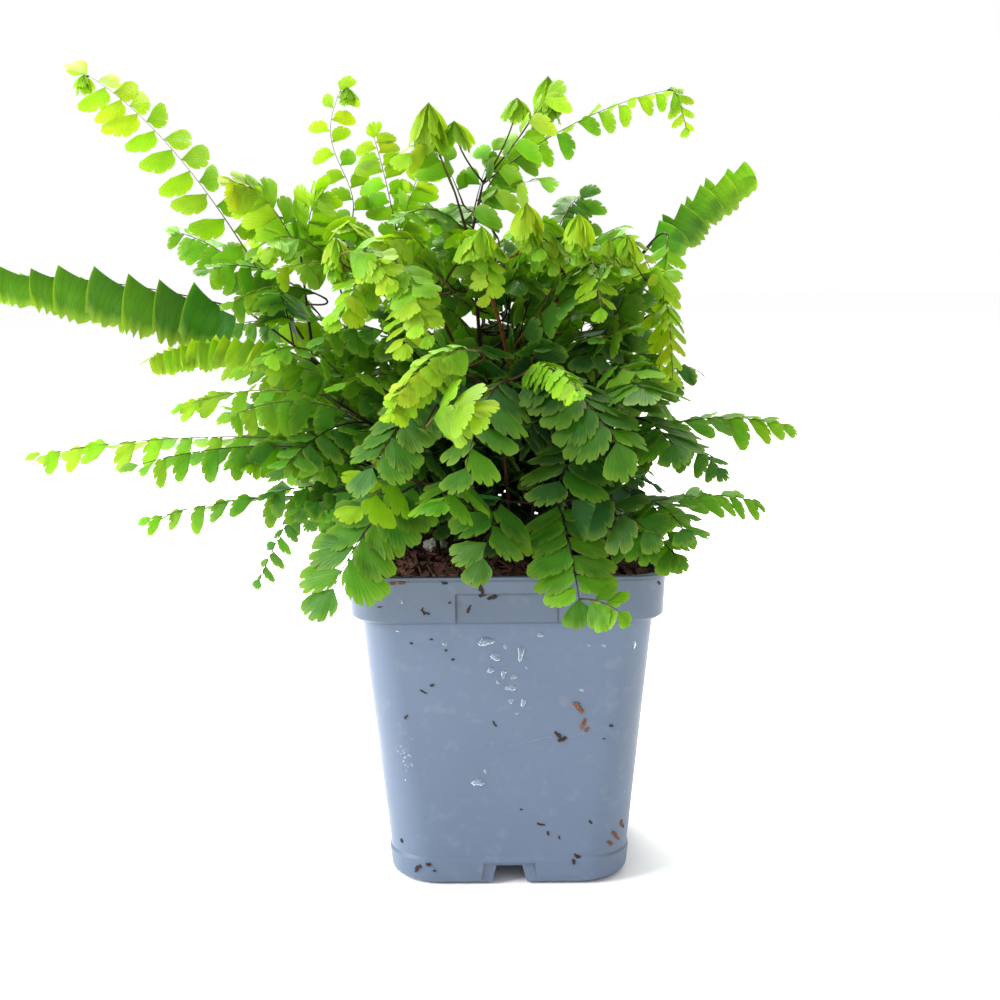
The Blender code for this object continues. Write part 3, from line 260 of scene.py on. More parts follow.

# Each frond stands at its foot on the soil, forks at a point, and carries its pinnae on two arms. A pinna
# leaves its arm at a share of the arm's length, arches by its lift and ends at its tip. Leaf is the length
# of its leaflets, face is how far they are turned from lying flat towards the front, droop is how far both
# rows hang from the rib, and shade runs from 0 for old dark leaves to 1 for young lime ones. Shade is also
# painted light and shade in part: it is lower where a pinna lies in the crown's shade and higher where light
# falls on it. Kind is its style, lobes is -1 where the lobes are on the leaflets' other side, and bow is how
# far the rib sways. Stem is the shade of the stipe: 0 is black-brown and 1 is light brown.
FRONDS = [
    Frond("frond_front_left", (-7, -14), (-14, -34, 118), [(-26, -44, 122), (-8, -44, 120)],
          [Pinna(0, 0.70, (-46, -60, 96), 6, 13, 38, 6, 0.44, "feather"),
           Pinna(0, 0.96, (-38, -60, 118), 2, 12, 55, 4, 0.80, "broad"),
           Pinna(1, 0.96, (-16, -74, 122), 3, 13, 40, 20, 0.50, "broad")], 0.1),
    Frond("frond_front_centre", (7, -13), (8, -36, 114), [(16, -44, 116), (0, -44, 116)],
          [Pinna(0, 0.70, (19, -62, 93), 4, 13.5, 55, 8, 0.50, "ladder"),
           Pinna(0, 0.96, (36, -62, 112), 3, 13, 45, 15, 0.36, "broad"),
           Pinna(1, 0.96, (-6, -61, 104), 5, 13, 50, 10, 0.42, "broad")], 0.0),
    Frond("frond_front_lime", (1, -10), (-4, -36, 146), [(-13, -44, 152), (8, -44, 152)],
          [Pinna(0, 0.60, (-28, -78, 145), 6, 6.4, 40, 35, 0.86, "dome"),
           Pinna(0, 0.96, (-34, -70, 130), 4, 10.5, 18, 8, 0.38, "feather"),
           Pinna(1, 0.40, (-10, -84, 132), 6, 13.5, 28, 18, 0.42, "broad"),
           Pinna(1, 0.70, (18, -76, 150), 4, 6.4, 40, 35, 0.74, "dome"),
           Pinna(1, 0.96, (28, -70, 136), 4, 13, 20, 12, 0.38, "feather")], 0.2),
    Frond("frond_right_low", (16, -8), (28, -18, 106), [(42, -10, 106), (38, -30, 112)],
          [Pinna(0, 0.96, (74, 2, 107), 3, 11.5, 28, 12, 0.56, "lens"),
           Pinna(1, 0.96, (45, -50, 103), 5, 10, 35, 12, 0.46, "broad"),
           Pinna(1, 0.50, (46, -62, 112), 5, 12, 40, 15, 0.34, "broad")], 0.0),
    Frond("frond_left_low", (-20, -7), (-34, -8, 116), [(-50, -8, 128), (-44, -18, 112)],
          [Pinna(0, 0.96, (-138, -5, 124), 3, 11.5, 25, 45, 0.74, "sway"),
           Pinna(0, 0.60, (-104, -26, 124), 4, 11, 22, 45, 0.56, "sway"),
           Pinna(1, 0.96, (-104, -14, 106), 3, 10, 30, 35, 0.60, "sway"),
           Pinna(1, 0.60, (-74, -8, 86), 13, 8.5, 35, 20, 0.44, "lens"),
           Pinna(0, 0.30, (-74, 40, 112), 6, 10, 10, 35, 0.45)], 0.0),
    Frond("frond_centre_lime", (-4, -4), (-21, -15, 168), [(-32, -20, 175), (-13, -21, 180)],
          [Pinna(0, 0.96, (-44, -46, 166), 6, 9, 40, 25, 0.82, "scale"),
           Pinna(0, 0.50, (-26, -52, 160), 6, 9, 40, 25, 0.84, "brick"),
           Pinna(1, 0.96, (-8, -40, 184), 5, 8.5, 45, 30, 0.80, "scale"),
           Pinna(1, 0.60, (-32, -42, 186), 5, 8.5, 45, 30, 0.84, "scale")], 0.3),
    Frond("frond_right_mid", (18, -1), (32, -6, 126), [(44, 0, 129), (30, -22, 138)],
          [Pinna(0, 0.96, (81, -5, 131), 3, 12, 28, 12, 0.60, "lens"),
           Pinna(0, 0.40, (60, -26, 122), 4, 11, 22, 12, 0.30, "lens"),
           Pinna(1, 0.96, (36, -56, 148), 4, 13, 18, 10, 0.38, "feather"),
           Pinna(1, 0.60, (44, -54, 133), 4, 13, 22, 12, 0.32, "feather"),
           Pinna(1, 0.30, (14, -58, 124), 5, 13.5, 28, 12, 0.28, "feather")], 0.0),
    Frond("frond_centre_young", (6, -2), (-7, -22, 178), [(-3, -26, 184), (4, -24, 182)],
          [Pinna(0, 0.90, (-5, -40, 172), 6, 7, 45, 20, 0.92, "scale"),
           Pinna(1, 0.90, (13, -34, 180), 4, 9, 50, 20, 0.72)], 0.9),
    Frond("frond_left_mid", (-12, -8), (-36, -16, 132), [(-52, -14, 142), (-42, -30, 138)],
          [Pinna(0, 0.96, (-93, -11, 139), 3, 10.5, 25, 45, 0.80, "sway"),
           Pinna(0, 0.40, (-84, 4, 149), 4, 9.5, 30, 20, 0.70, "lens"),
           Pinna(1, 0.96, (-74, -42, 140), 4, 11, 25, 40, 0.64),
           Pinna(1, 0.50, (-60, -48, 126), 4, 11, 40, 20, 0.36)], 0.0),
    Frond("frond_left_long", (-16, 0), (-48, 0, 144), [(-78, 5, 166), (-56, -14, 152)],
          [Pinna(0, 0.96, (-166, -2, 176), 4, 16.5, 0, 68, 0.52, "sail"),
           Pinna(1, 0.96, (-102, -14, 153), 5, 8.5, 10, 62, 0.86, "comb"),
           Pinna(0, 0.50, (-64, -22, 172), 4, 11, 40, 20, 0.35)], 0.0),
    Frond("frond_left_high", (-13, 10), (-58, 8, 152), [(-75, 12, 178), (-60, 2, 182)],
          [Pinna(0, 0.96, (-125, 22, 235), 7, 12.2, 36, 6, 0.84, "pod", -1),
           Pinna(0, 0.45, (-98, 16, 188), 4, 11, 35, 20, 0.56),
           Pinna(1, 0.60, (-84, -12, 178), 4, 11, 35, 25, 0.56),
           Pinna(1, 0.96, (-76, -8, 202), 5, 10.5, 45, 25, 0.86, "scale"),
           Pinna(1, 0.80, (-54, -6, 198), 4, 10, 45, 20, 0.82, "scale")], 0.1),
    Frond("frond_centre_tall", (-6, 6), (-10, -5, 185), [(-6, -2, 202), (-14, -7, 199)],
          [Pinna(0, 0.96, (48, 8, 228), 4, 8, 30, 35, 0.76, "small"),
           Pinna(0, 0.60, (12, -12, 225), 1, 9.5, 38, 15, 0.74, "open"),
           Pinna(1, 0.96, (-26, -16, 210), 7, 9.5, 45, 35, 0.84, "open"),
           Pinna(1, 0.40, (10, -16, 202), 3, 9.5, 40, 20, 0.74, "open"),
           Pinna(0, 0.30, (-12, 34, 192), 4, 11, 20, 25, 0.62)], 0.1),
    Frond("frond_right_brown", (10, 5), (17, -10, 176), [(10, -15, 186), (28, -8, 182)],
          [Pinna(0, 0.96, (10, -36, 184), 7, 9, 45, 30, 0.80),
           Pinna(0, 0.60, (23, 10, 198), 3, 9, 40, 20, 0.48),
           Pinna(1, 0.50, (26, -38, 168), 7, 10, 45, 25, 0.80),
           Pinna(1, 0.96, (42, -14, 176), 7, 8, 45, 30, 0.86)], 0.7),
    Frond("frond_centre_left", (-11, 17), (-36, 6, 170), [(-48, 5, 186), (-31, 3, 186)],
          [Pinna(0, 0.96, (-48, 12, 229), -1, 7.8, 42, 15, 0.78, "open", 1, 3.2),
           Pinna(1, 0.96, (-38, 8, 215), 2, 9, 50, 15, 0.80, "brick"),
           Pinna(1, 0.60, (-24, 2, 206), 2, 9, 50, 20, 0.82, "brick"),
           Pinna(0, 0.50, (-44, -20, 190), 5, 10, 45, 25, 0.84, "scale"),
           Pinna(0, 0.75, (-66, 36, 180), 4, 11, 20, 30, 0.62),
           Pinna(0, 0.25, (-34, 44, 178), 4, 11, 10, 30, 0.56)], 0.2),
    Frond("frond_middle_low", (5, 13), (6, 0, 120), [(-6, 6, 126), (18, -8, 130)],
          [Pinna(0, 0.60, (-30, -34, 112), 6, 10, 40, 20, 0.10),
           Pinna(0, 0.96, (-38, 44, 114), 4, 10, 0, 25, 0.25),
           Pinna(1, 0.96, (4, -40, 132), 5, 10, 45, 20, 0.08),
           Pinna(0, 0.30, (-4, 56, 118), 5, 10, -10, 25, 0.28)], 0.0),
    Frond("frond_right_high", (15, 12), (38, 14, 158), [(42, 24, 180), (48, 8, 166)],
          [Pinna(0, 0.96, (72, 32, 204), 3, 12.5, 12, 66, 0.62, "saw"),
           Pinna(0, 0.40, (34, -8, 168), 5, 12, 35, 25, 0.38, "broad"),
           Pinna(1, 0.96, (48, -16, 146), 8, 9, 20, 30, 0.92, "lens"),
           Pinna(1, 0.40, (24, -24, 154), 5, 12, 40, 25, 0.28, "broad")], 0.0),
    Frond("frond_back_left", (-7, 21), (-34, 38, 142), [(-50, 40, 152), (-30, 50, 156)],
          [Pinna(0, 0.96, (-88, 46, 158), 4, 10, 15, 30, 0.35),
           Pinna(1, 0.96, (-40, 82, 160), 5, 10, -15, 30, 0.50),
           Pinna(1, 0.50, (-62, 74, 140), 6, 10, -10, 30, 0.40),
           Pinna(0, 0.50, (-82, 62, 132), 5, 10, 0, 30, 0.42),
           Pinna(0, 0.25, (-64, 46, 126), 4, 10, 10, 30, 0.36)], 0.0),
    Frond("frond_back_middle", (3, 20), (4, 40, 160), [(-8, 46, 172), (16, 46, 170)],
          [Pinna(0, 0.96, (-28, 54, 192), 3, 10, 10, 30, 0.45),
           Pinna(0, 0.60, (-10, 82, 172), 6, 10, -20, 30, 0.60),
           Pinna(1, 0.96, (38, 60, 188), 3, 10, 10, 30, 0.52),
           Pinna(1, 0.50, (20, 82, 154), 7, 10, -20, 30, 0.45),
           Pinna(0, 0.30, (4, 66, 188), 3, 10, -10, 30, 0.58)], 0.0),
    Frond("frond_back_right", (13, 20), (38, 42, 128), [(50, 44, 136), (36, 54, 138)],
          [Pinna(0, 0.60, (62, 52, 142), 4, 10, 15, 30, 0.35),
           Pinna(1, 0.96, (48, 84, 136), 6, 10, -15, 30, 0.45),
           Pinna(1, 0.50, (16, 78, 122), 6, 10, -15, 30, 0.40),
           Pinna(0, 0.30, (58, 64, 122), 5, 10, 0, 30, 0.40)], 0.0),
]

# Smaller pinnae between the others. Each stands on a twig that leaves its joint, or else the nearest stem of
# its frond.
EXTRAS = [
    Extra("frond_centre_lime", (-15, -20, 172), Pinna(0, 0, (-33, -40, 181), 4, 8, 50, 15, 0.80, "scale")),
    Extra("frond_centre_lime", (-29, -42, 181), Pinna(0, 0, (-20, -58, 163), 3, 8, 50, 15, 0.84, "scale")),
    Extra("frond_centre_lime", (-43, -44, 183), Pinna(0, 0, (-30, -52, 177), 3, 7.5, 50, 15, 0.84, "scale")),
    Extra("frond_right_brown", (3, -15, 156), Pinna(0, 0, (18, -25, 169), 3, 11.5, 25, 10, 0.44, "broad")),
    Extra("frond_right_high", (26, -10, 154), Pinna(0, 0, (37, -15, 169), 3, 11.5, 30, 10, 0.40, "broad")),
    Extra("frond_right_high", (49, 12, 186), Pinna(0, 0, (45, -5, 142), 3, 8.5, 50, 20, 0.92, "lens"),
          (42, 24, 180)),
    Extra("frond_right_brown", (19, 5, 182), Pinna(0, 0, (23, 8, 197), 2, 9, 30, 10, 0.46, "open")),
    Extra("frond_centre_tall", (-9, 0, 193), Pinna(0, 0, (-3, 5, 211), 2, 9.5, 38, 15, 0.66, "open")),
    Extra("frond_centre_tall", (-12, 0, 196), Pinna(0, 0, (-20, -4, 211), 2, 9.5, 38, 15, 0.70, "open")),
    Extra("frond_centre_tall", (-6, 3, 198), Pinna(0, 0, (8, 5, 217), 2, 9.5, 38, 15, 0.72, "open")),
    Extra("frond_left_high", (-52, -5, 169), Pinna(0, 0, (-77, -15, 169), 4, 10, 25, 40, 0.62, "lens")),
    Extra("frond_right_mid", (27, -26, 149), Pinna(0, 0, (38, -42, 147), 3, 10, 30, 10, 0.70, "broad")),
    Extra("frond_front_centre", (26, -40, 104), Pinna(0, 0, (45, -52, 103), 4, 9.5, 35, 12, 0.46, "broad")),
    Extra("frond_front_lime", (-7, -66, 159), Pinna(0, 0, (-27, -80, 149), 4, 6.0, 42, 25, 0.90, "dome")),
    Extra("frond_front_lime", (-20, -75, 141), Pinna(0, 0, (-8, -86, 146), 3, 11, 48, 10, 0.82, "scale")),
    Extra("frond_front_centre", (19, -62, 93), Pinna(0, 0, (29, -67, 91), 1, 8, 50, 10, 0.60, "ladder"),
          (19, -62, 93)),
    Extra("frond_centre_tall", (48.6, 8, 228.1), Pinna(0, 0, (53.5, 8, 217.5), 3, 6.5, 60, 10, 0.84, "lens"),
          (48, 8, 228)),
]

# Young leaflets that hang folded round the top of a twig, in tiers. Spread is how many degrees they stand
# out from hanging straight, and joint is where the twig starts if that isn't the nearest stem.
CLUSTERS = [
    Cluster("frond_centre_tall", (-21, -10, 224), 2, 13, 27, 0.90),
    Cluster("frond_centre_tall", (-14, -8, 219), 1, 10, 40, 0.86),
    Cluster("frond_centre_tall", (13, 4, 232), 2, 12, 22, 0.86),
    Cluster("frond_centre_tall", (4, 4, 226), 1, 8.5, 40, 0.82),
    Cluster("frond_right_brown", (6, -35, 196), 3, 10, 30, 0.95),
    Cluster("frond_right_brown", (20, -36, 193), 4, 9, 26, 0.98),
    Cluster("frond_right_brown", (13, -30, 187), 2, 8, 35, 0.88),
    Cluster("frond_right_high", (34, -26, 187), 4, 6.5, 26, 0.96),
    Cluster("frond_right_high", (29, -24, 186), 2, 6, 35, 0.90),
    Cluster("frond_centre_young", (-6, -38, 190), 3, 9, 30, 0.90),
    Cluster("frond_centre_lime", (-46, -30, 187), 3, 9, 30, 0.92),
    Cluster("frond_left_high", (-126, 22, 235), 2, 5.5, 34, 0.92, (-124.5, 22, 234.6)),
    Cluster("frond_centre_left", (-46, 12, 230), 2, 5, 40, 0.86, (-48, 12, 228.5)),
]
CLUSTER_RINGS = 4
CLUSTER_LEAVES = 6
CLUSTER_STEP = 0.34
CLUSTER_SHRINK = 0.84
CLUSTER_FOLD = 0.62
CLUSTER_DARKER = 0.08

# Leaf colours along the shade scale, from old dark leaves and leaves in painted shade to young lime leaves
# and leaves in painted light
LEAF_COLOURS = [(0.0, (0.007, 0.042, 0.015)),
                (0.3, (0.026, 0.106, 0.020)),
                (0.6, (0.088, 0.260, 0.009)),
                (0.8, (0.205, 0.430, 0.010)),
                (1.0, (0.370, 0.560, 0.016))]
LEAF_THROUGH = 0.42
SHADE_STRAY = 0.07
TINT_STRAY = 0.12
VEINS = 9.0
STEM_DARK = (0.012, 0.006, 0.004)
STEM_LIGHT = (0.20, 0.065, 0.020)
RIB_YOUNG = (0.15, 0.15, 0.03)

# Rough surfaces: two colours mixed by a grain, given as its scale, detail, low and high ends, a relief, given
# as its scale, detail, strength and depth in metres, and how far each piece's own tint shows
Surface = namedtuple("Surface", "dark light grain relief roughness tinted", defaults=(0.0,))
SURFACES = {
    "soil_bed": Surface((0.010, 0.005, 0.003), (0.050, 0.022, 0.012), (420, 8, 0.3, 0.7),
                        (900, 8, 1.0, 0.001), 0.9),
    "bark_chip": Surface((0.055, 0.022, 0.014), (0.19, 0.082, 0.052), (900, 6, 0.3, 0.7),
                         (1800, 8, 0.8, 0.0006), 0.78, 0.75),
    "stone_chalky": Surface((0.74, 0.70, 0.62), (0.95, 0.93, 0.88), (500, 6, 0.35, 0.65),
                            (1100, 6, 0.9, 0.0005), 0.85),
    "crumb_dark": Surface((0.0135, 0.0063, 0.00405), (0.030, 0.014, 0.009), (1500, 5, 0.3, 0.7),
                          (2600, 5, 0.8, 0.0003), 0.85),
    "crumb_brown": Surface((0.0855, 0.03375, 0.0162), (0.19, 0.075, 0.036), (1500, 5, 0.3, 0.7),
                           (2600, 5, 0.8, 0.0003), 0.85),
    "pot_scratch": Surface((0.085, 0.120, 0.180), (0.150, 0.200, 0.290), (700, 4, 0.3, 0.7), None, 0.5),
}

# Camera and lamps, in metres
CAMERA_PLACE = (0.0, -0.460, 0.195)
CAMERA_PITCH = 10.7
CAMERA_YAW = 0.24
CAMERA_ROLL = -0.5
CAMERA_LENS = 55.9
LIGHT_AIM = (0.0, 0.0, 0.13)
FLOOR_REACH = 3000


# Small helpers
def blend_colour(stops, share):
    """A colour between the stops of a list, by share."""
    for (low, first), (high, last) in zip(stops, stops[1:]):
        if share <= high:
            mix = max(share - low, 0.0) / (high - low)
            return [a + (b - a) * mix for a, b in zip(first, last)]
    return list(stops[-1][1])


def curve(start, middle, end, share):
    """A point on the way between two ends that a middle point pulls at."""
    return start * (1.0 - share) ** 2 + middle * (2.0 * share * (1.0 - share)) + end * share ** 2


def ring_faces(count, rows):
    """The faces between rings of points that follow each other."""
    faces = []
    for row in range(rows):
        for i in range(count):
            near, far = row * count + i, row * count + (i + 1) % count
            faces.append([near, far, far + count, near + count])
    return faces


def mesh_piece(name, points, faces, smooth=True):
    """An object from points in millimetres."""
    mesh = bpy.data.meshes.new(name)
    mesh.from_pydata([tuple(c * MM for c in p) for p in points], [], faces)
    piece = bpy.data.objects.new(name, mesh)
    bpy.context.scene.collection.objects.link(piece)
    if smooth:
        mesh.shade_smooth()
    return piece


def paint(mesh, name, values):
    """Store a colour for each point."""
    layer = mesh.attributes.new(name, "FLOAT_COLOR", "POINT")
    layer.data.foreach_set("color", np.asarray(values, dtype=np.float32).ravel())


def carry(mesh, name, values):
    """Store a vector for each point."""
    layer = mesh.attributes.new(name, "FLOAT_VECTOR", "POINT")
    layer.data.foreach_set("vector", np.asarray(values, dtype=np.float32).ravel())


class Shader:
    """A material's nodes, added and linked by name."""

    def __init__(self, name):
        self.material = bpy.data.materials.new(name)
        self.material.use_nodes = True
        self.tree = self.material.node_tree
        self.surface = self.tree.nodes["Principled BSDF"]
        self.output = self.tree.nodes["Material Output"]

    def node(self, kind, **settings):
        made = self.tree.nodes.new(kind)
        for key, value in settings.items():
            setattr(made, key, value)
        return made

    def link(self, source, target):
        self.tree.links.new(source, target)

    def feed(self, socket, value):
        """Set a socket to a number or a colour, or link it to another."""
        if isinstance(value, (int, float)):
            socket.default_value = value
        elif isinstance(value, tuple):
            socket.default_value = (*value, 1.0)
        else:
            self.link(value, socket)

    def put(self, name, value):
        """Set a value of the surface."""
        self.surface.inputs[name].default_value = value

    def base(self, colour):
        self.link(colour, self.surface.inputs["Base Color"])

    def tint(self):
        """The colour stored for each point."""
        return self.node("ShaderNodeAttribute", attribute_name="tint").outputs["Color"]

    def place(self):
        return self.node("ShaderNodeTexCoord").outputs["Object"]

    def math(self, operation, first, second=None):
        made = self.node("ShaderNodeMath", operation=operation)
        self.feed(made.inputs[0], first)
        if second is not None:
            self.feed(made.inputs[1], second)
        return made.outputs[0]

    def times(self, first, second):
        return self.math("MULTIPLY", first, second)

    def either(self, first, second):
        return self.math("MAXIMUM", first, second)

    def mix(self, share, first, second, blend="MIX"):
        made = self.node("ShaderNodeMix", data_type="RGBA", blend_type=blend)
        for number, value in ((0, share), (6, first), (7, second)):
            self.feed(made.inputs[number], value)
        return made.outputs[2]

    def filtered(self, colour, by):
        """A colour multiplied by another."""
        return self.mix(1.0, colour, by, "MULTIPLY")

    def noise(self, scale, detail):
        made = self.node("ShaderNodeTexNoise")
        made.inputs["Scale"].default_value = scale
        made.inputs["Detail"].default_value = detail
        self.link(self.place(), made.inputs["Vector"])
        return made.outputs["Fac"]

    def ramp(self, value, low, high):
        made = self.node("ShaderNodeMapRange")
        made.inputs["From Min"].default_value = low
        made.inputs["From Max"].default_value = high
        self.link(value, made.inputs["Value"])
        return made.outputs["Result"]

    def grain(self, scale, detail, low=0.3, high=0.7):
        """A noise from 0 to 1, crisper where its ends are closer."""
        return self.ramp(self.noise(scale, detail), low, high)

    def over(self, value, place):
        """1 where a length passes a place in millimetres, and 0 below it."""
        return self.ramp(value, place * MM, (place + SHADE_EDGE_SHARP) * MM)

    def under(self, value, place):
        return self.ramp(value, place * MM, (place - SHADE_EDGE_SHARP) * MM)

    def line(self, value, place):
        """A soft line where a length passes a place in millimetres."""
        away = self.math("ABSOLUTE", self.math("SUBTRACT", value, place * MM))
        return self.ramp(away, SHADE_LINE_WIDTH * MM, 0.0)

    def bump(self, height, strength, distance):
        made = self.node("ShaderNodeBump")
        made.inputs["Strength"].default_value = strength
        made.inputs["Distance"].default_value = distance
        self.link(height, made.inputs["Height"])
        self.link(made.outputs["Normal"], self.surface.inputs["Normal"])
        return made.outputs["Normal"]


# Materials
def leaf_material():
    """Thin green blades that light shines through, with veins that fan out from the stalk and fork, and a
    painted highlight along their margins.
    """
    shader = Shader("fern_leaf")
    tint = shader.tint()
    fan = shader.node("ShaderNodeSeparateXYZ")
    shader.link(shader.node("ShaderNodeAttribute", attribute_name="fan").outputs["Vector"], fan.inputs[0])
    angle, reach, margin = fan.outputs

    few = shader.math("PINGPONG", shader.times(angle, VEINS), 0.5)
    many = shader.math("PINGPONG", shader.times(angle, 2.0 * VEINS), 0.5)
    branches = shader.times(shader.ramp(many, 0.14, 0.0), shader.ramp(reach, 0.45, 0.6))
    veins = shader.either(shader.ramp(few, 0.10, 0.0), branches)

    patches = shader.times(shader.grain(160, 2, 0.35, 0.65), 0.35)
    base = shader.mix(patches, tint, shader.filtered(tint, (0.55, 0.75, 0.45)))
    veined = shader.mix(shader.times(veins, 0.38), base, shader.filtered(tint, (0.45, 0.55, 0.5)))
    heart = shader.times(shader.ramp(reach, 0.55, 0.0), 0.55)
    deep = shader.mix(heart, veined, shader.filtered(tint, (0.35, 0.50, 0.45)))
    # Painted highlight: the margins are mixed towards a pale yellow-green, as where backlight glows through
    # them
    edge = shader.times(shader.ramp(reach, 0.72, 1.0), shader.math("ADD", shader.times(margin, 0.34), 0.36))
    colour = shader.mix(edge, deep, shader.mix(0.5, tint, (0.52, 0.72, 0.08)))
    shader.base(colour)
    shader.put("Roughness", 0.48)
    shader.put("Specular IOR Level", 0.22)
    normal = shader.bump(shader.math("SUBTRACT", 1.0, veins), 0.35, 0.0002)

    through = shader.node("ShaderNodeBsdfTranslucent")
    shader.link(shader.filtered(colour, (1.0, 0.95, 0.35)), through.inputs["Color"])
    shader.link(normal, through.inputs["Normal"])
    both = shader.node("ShaderNodeMixShader")
    both.inputs[0].default_value = LEAF_THROUGH
    shader.link(shader.surface.outputs[0], both.inputs[1])
    shader.link(through.outputs[0], both.inputs[2])
    shader.link(both.outputs[0], shader.output.inputs["Surface"])
    return shader.material


def stem_material():
    """Wiry dark stems with fine streaks."""
    shader = Shader("fern_stem")
    shader.base(shader.mix(shader.times(shader.grain(700, 2), 0.5), shader.tint(), (0.004, 0.002, 0.001)))
    shader.put("Roughness", 0.55)
    shader.put("Specular IOR Level", 0.18)
    return shader.material


def pot_painted_shade_lines(shader, aside, height):
    """Painted shade: dark lines under the lip and the band, and round the label recess."""
    half = LABEL_WIDTH / 2.0
    within = shader.times(shader.over(height, BAND_FOOT_Z), shader.under(height, LABEL_TOP_Z))
    beside = shader.times(shader.line(aside, half - SHADE_LINE_IN), within)
    above = shader.times(shader.line(height, LABEL_TOP_Z - SHADE_LINE_IN), shader.under(aside, half))
    ledges = shader.either(shader.line(height, BAND_FOOT_Z - SHADE_LINE_IN),
                           shader.line(height, POT_HEIGHT - LIP_HEIGHT - SHADE_LINE_IN))
    return shader.either(ledges, shader.either(beside, above))


def pot_material():
    """Moulded blue-grey plastic with a fine grain, a film of dust and dark specks, and painted shade: a
    darker rim band and dark lines under the ledges.
    """
    shader = Shader("pot_plastic_worn_painted_shade")
    cloud = shader.grain(28, 5)
    base = shader.mix(cloud, (0.081, 0.116, 0.179), (0.093, 0.131, 0.200))
    dusty = shader.mix(shader.times(shader.grain(240, 6, 0.56, 0.72), 0.08), base, (0.36, 0.37, 0.38))
    specks = shader.node("ShaderNodeTexVoronoi")
    specks.inputs["Scale"].default_value = 620.0
    shader.link(shader.place(), specks.inputs["Vector"])
    dots = shader.times(shader.ramp(specks.outputs["Distance"], 0.10, 0.04), shader.grain(95, 2, 0.60, 0.66))
    dotted = shader.mix(shader.times(dots, 0.8), dusty, (0.03, 0.02, 0.015))

    place = shader.node("ShaderNodeSeparateXYZ")
    shader.link(shader.place(), place.inputs[0])
    aside, height = shader.math("ABSOLUTE", place.outputs["X"]), place.outputs["Z"]
    # Painted shade: the rim band is darkened, as it lies under the rim and the overhanging leaves
    band = shader.filtered(dotted, (0.86, 0.86, 0.84))
    band_in_painted_shade = shader.mix(shader.over(height, BAND_FOOT_Z), dotted, band)
    # Painted shade: the lines under the ledges and round the label recess darken the colour
    painted_shade_lines = shader.times(pot_painted_shade_lines(shader, aside, height), 0.62)
    shader.base(shader.mix(painted_shade_lines, band_in_painted_shade, (0.016, 0.022, 0.034)))
    rough = shader.node("ShaderNodeMapRange")
    rough.inputs["To Min"].default_value = 0.34
    rough.inputs["To Max"].default_value = 0.50
    shader.link(cloud, rough.inputs["Value"])
    shader.link(rough.outputs["Result"], shader.surface.inputs["Roughness"])
    shader.bump(shader.noise(1400, 4), 0.12, 0.0001)
    return shader.material


def surface_material(name):
    """One of the rough surfaces: soil, bark, crumbs, stone and the scratch."""
    kind = SURFACES[name]
    shader = Shader(name)
    colour = shader.mix(shader.grain(*kind.grain), kind.dark, kind.light)
    if kind.tinted:
        colour = shader.mix(kind.tinted, colour, shader.tint(), "MULTIPLY")
    shader.base(colour)
    shader.put("Roughness", kind.roughness)
    if kind.relief:
        scale, detail, strength, depth = kind.relief
        shader.bump(shader.noise(scale, detail), strength, depth)
    return shader.material


def water_material():
    """Beads of water, a little milky, with a pale grainy blue-grey base colour."""
    shader = Shader("water_drop")
    shader.base(shader.mix(shader.grain(900, 3, 0.35, 0.65), (0.30, 0.37, 0.47), (0.56, 0.64, 0.76)))
    shader.put("Roughness", 0.04)
    shader.put("IOR", 1.33)
    shader.put("Transmission Weight", 0.7)
    shader.put("Coat Weight", 0.3)
    shader.put("Coat Roughness", 0.02)
    return shader.material


# Pot
def rounded_square(half, corner, z):
    """One level of the pot: a square with round corners, anticlockwise from above."""
    centre = half - corner
    points = []
    for quarter, (sx, sy) in enumerate([(1, 1), (-1, 1), (-1, -1), (1, -1)]):
        for step in range(CORNER_STEPS + 1):
            angle = math.radians(90.0 * (quarter + step / CORNER_STEPS))
            x, y = corner * math.cos(angle), corner * math.sin(angle)
            points.append((sx * centre + x, sy * centre + y, z))
    return points


def loft(name, levels, smooth=True):
    """A closed solid through levels of equal point count, with flat ends."""
    count = len(levels[0])
    points = [point for level in levels for point in level]
    faces = [list(reversed(range(count)))] + ring_faces(count, len(levels) - 1)
    faces.append(list(range((len(levels) - 1) * count, len(levels) * count)))
    return mesh_piece(name, points, faces, smooth)


def body_half(z):
    return BODY_FOOT_HALF + (BODY_TOP_HALF - BODY_FOOT_HALF) * z / BAND_FOOT_Z


def body_corner(z):
    return FOOT_CORNER + (TOP_CORNER - FOOT_CORNER) * z / POT_HEIGHT


def soften(rows, radius):
    """Round each corner of a profile with a short arc."""
    soft = [rows[0]]
    for before, here, after in zip(rows, rows[1:], rows[2:]):
        a, p, b = Vector(before), Vector(here), Vector(after)
        reach = min(radius, (a - p).length * 0.45, (b - p).length * 0.45)
        start = p + (a - p).normalized() * reach
        end = p + (b - p).normalized() * reach
        for share in (0.0, 0.33, 0.67, 1.0):
            soft.append(tuple(curve(start, p, end, share)))
    soft.append(rows[-1])
    return soft


def prism(ring, near, far):
    """A block whose outline in X and Z runs along Y from near to far."""
    count = len(ring)
    points = [(x, y, z) for y in (near, far) for x, z in ring]
    faces = [list(range(count)), list(reversed(range(count, 2 * count)))]
    for i in range(count):
        j = (i + 1) % count
        faces.append([i, i + count, j + count, j])
    return points, faces


def trapezoid(foot_width, top_width, height, near, far, foot=-PAST):
    slope = (foot_width - top_width) / height / 2.0
    wide = foot_width / 2.0 - foot * slope
    narrow = top_width / 2.0
    return prism([(-wide, foot), (wide, foot), (narrow, height), (-narrow, height)], near, far)


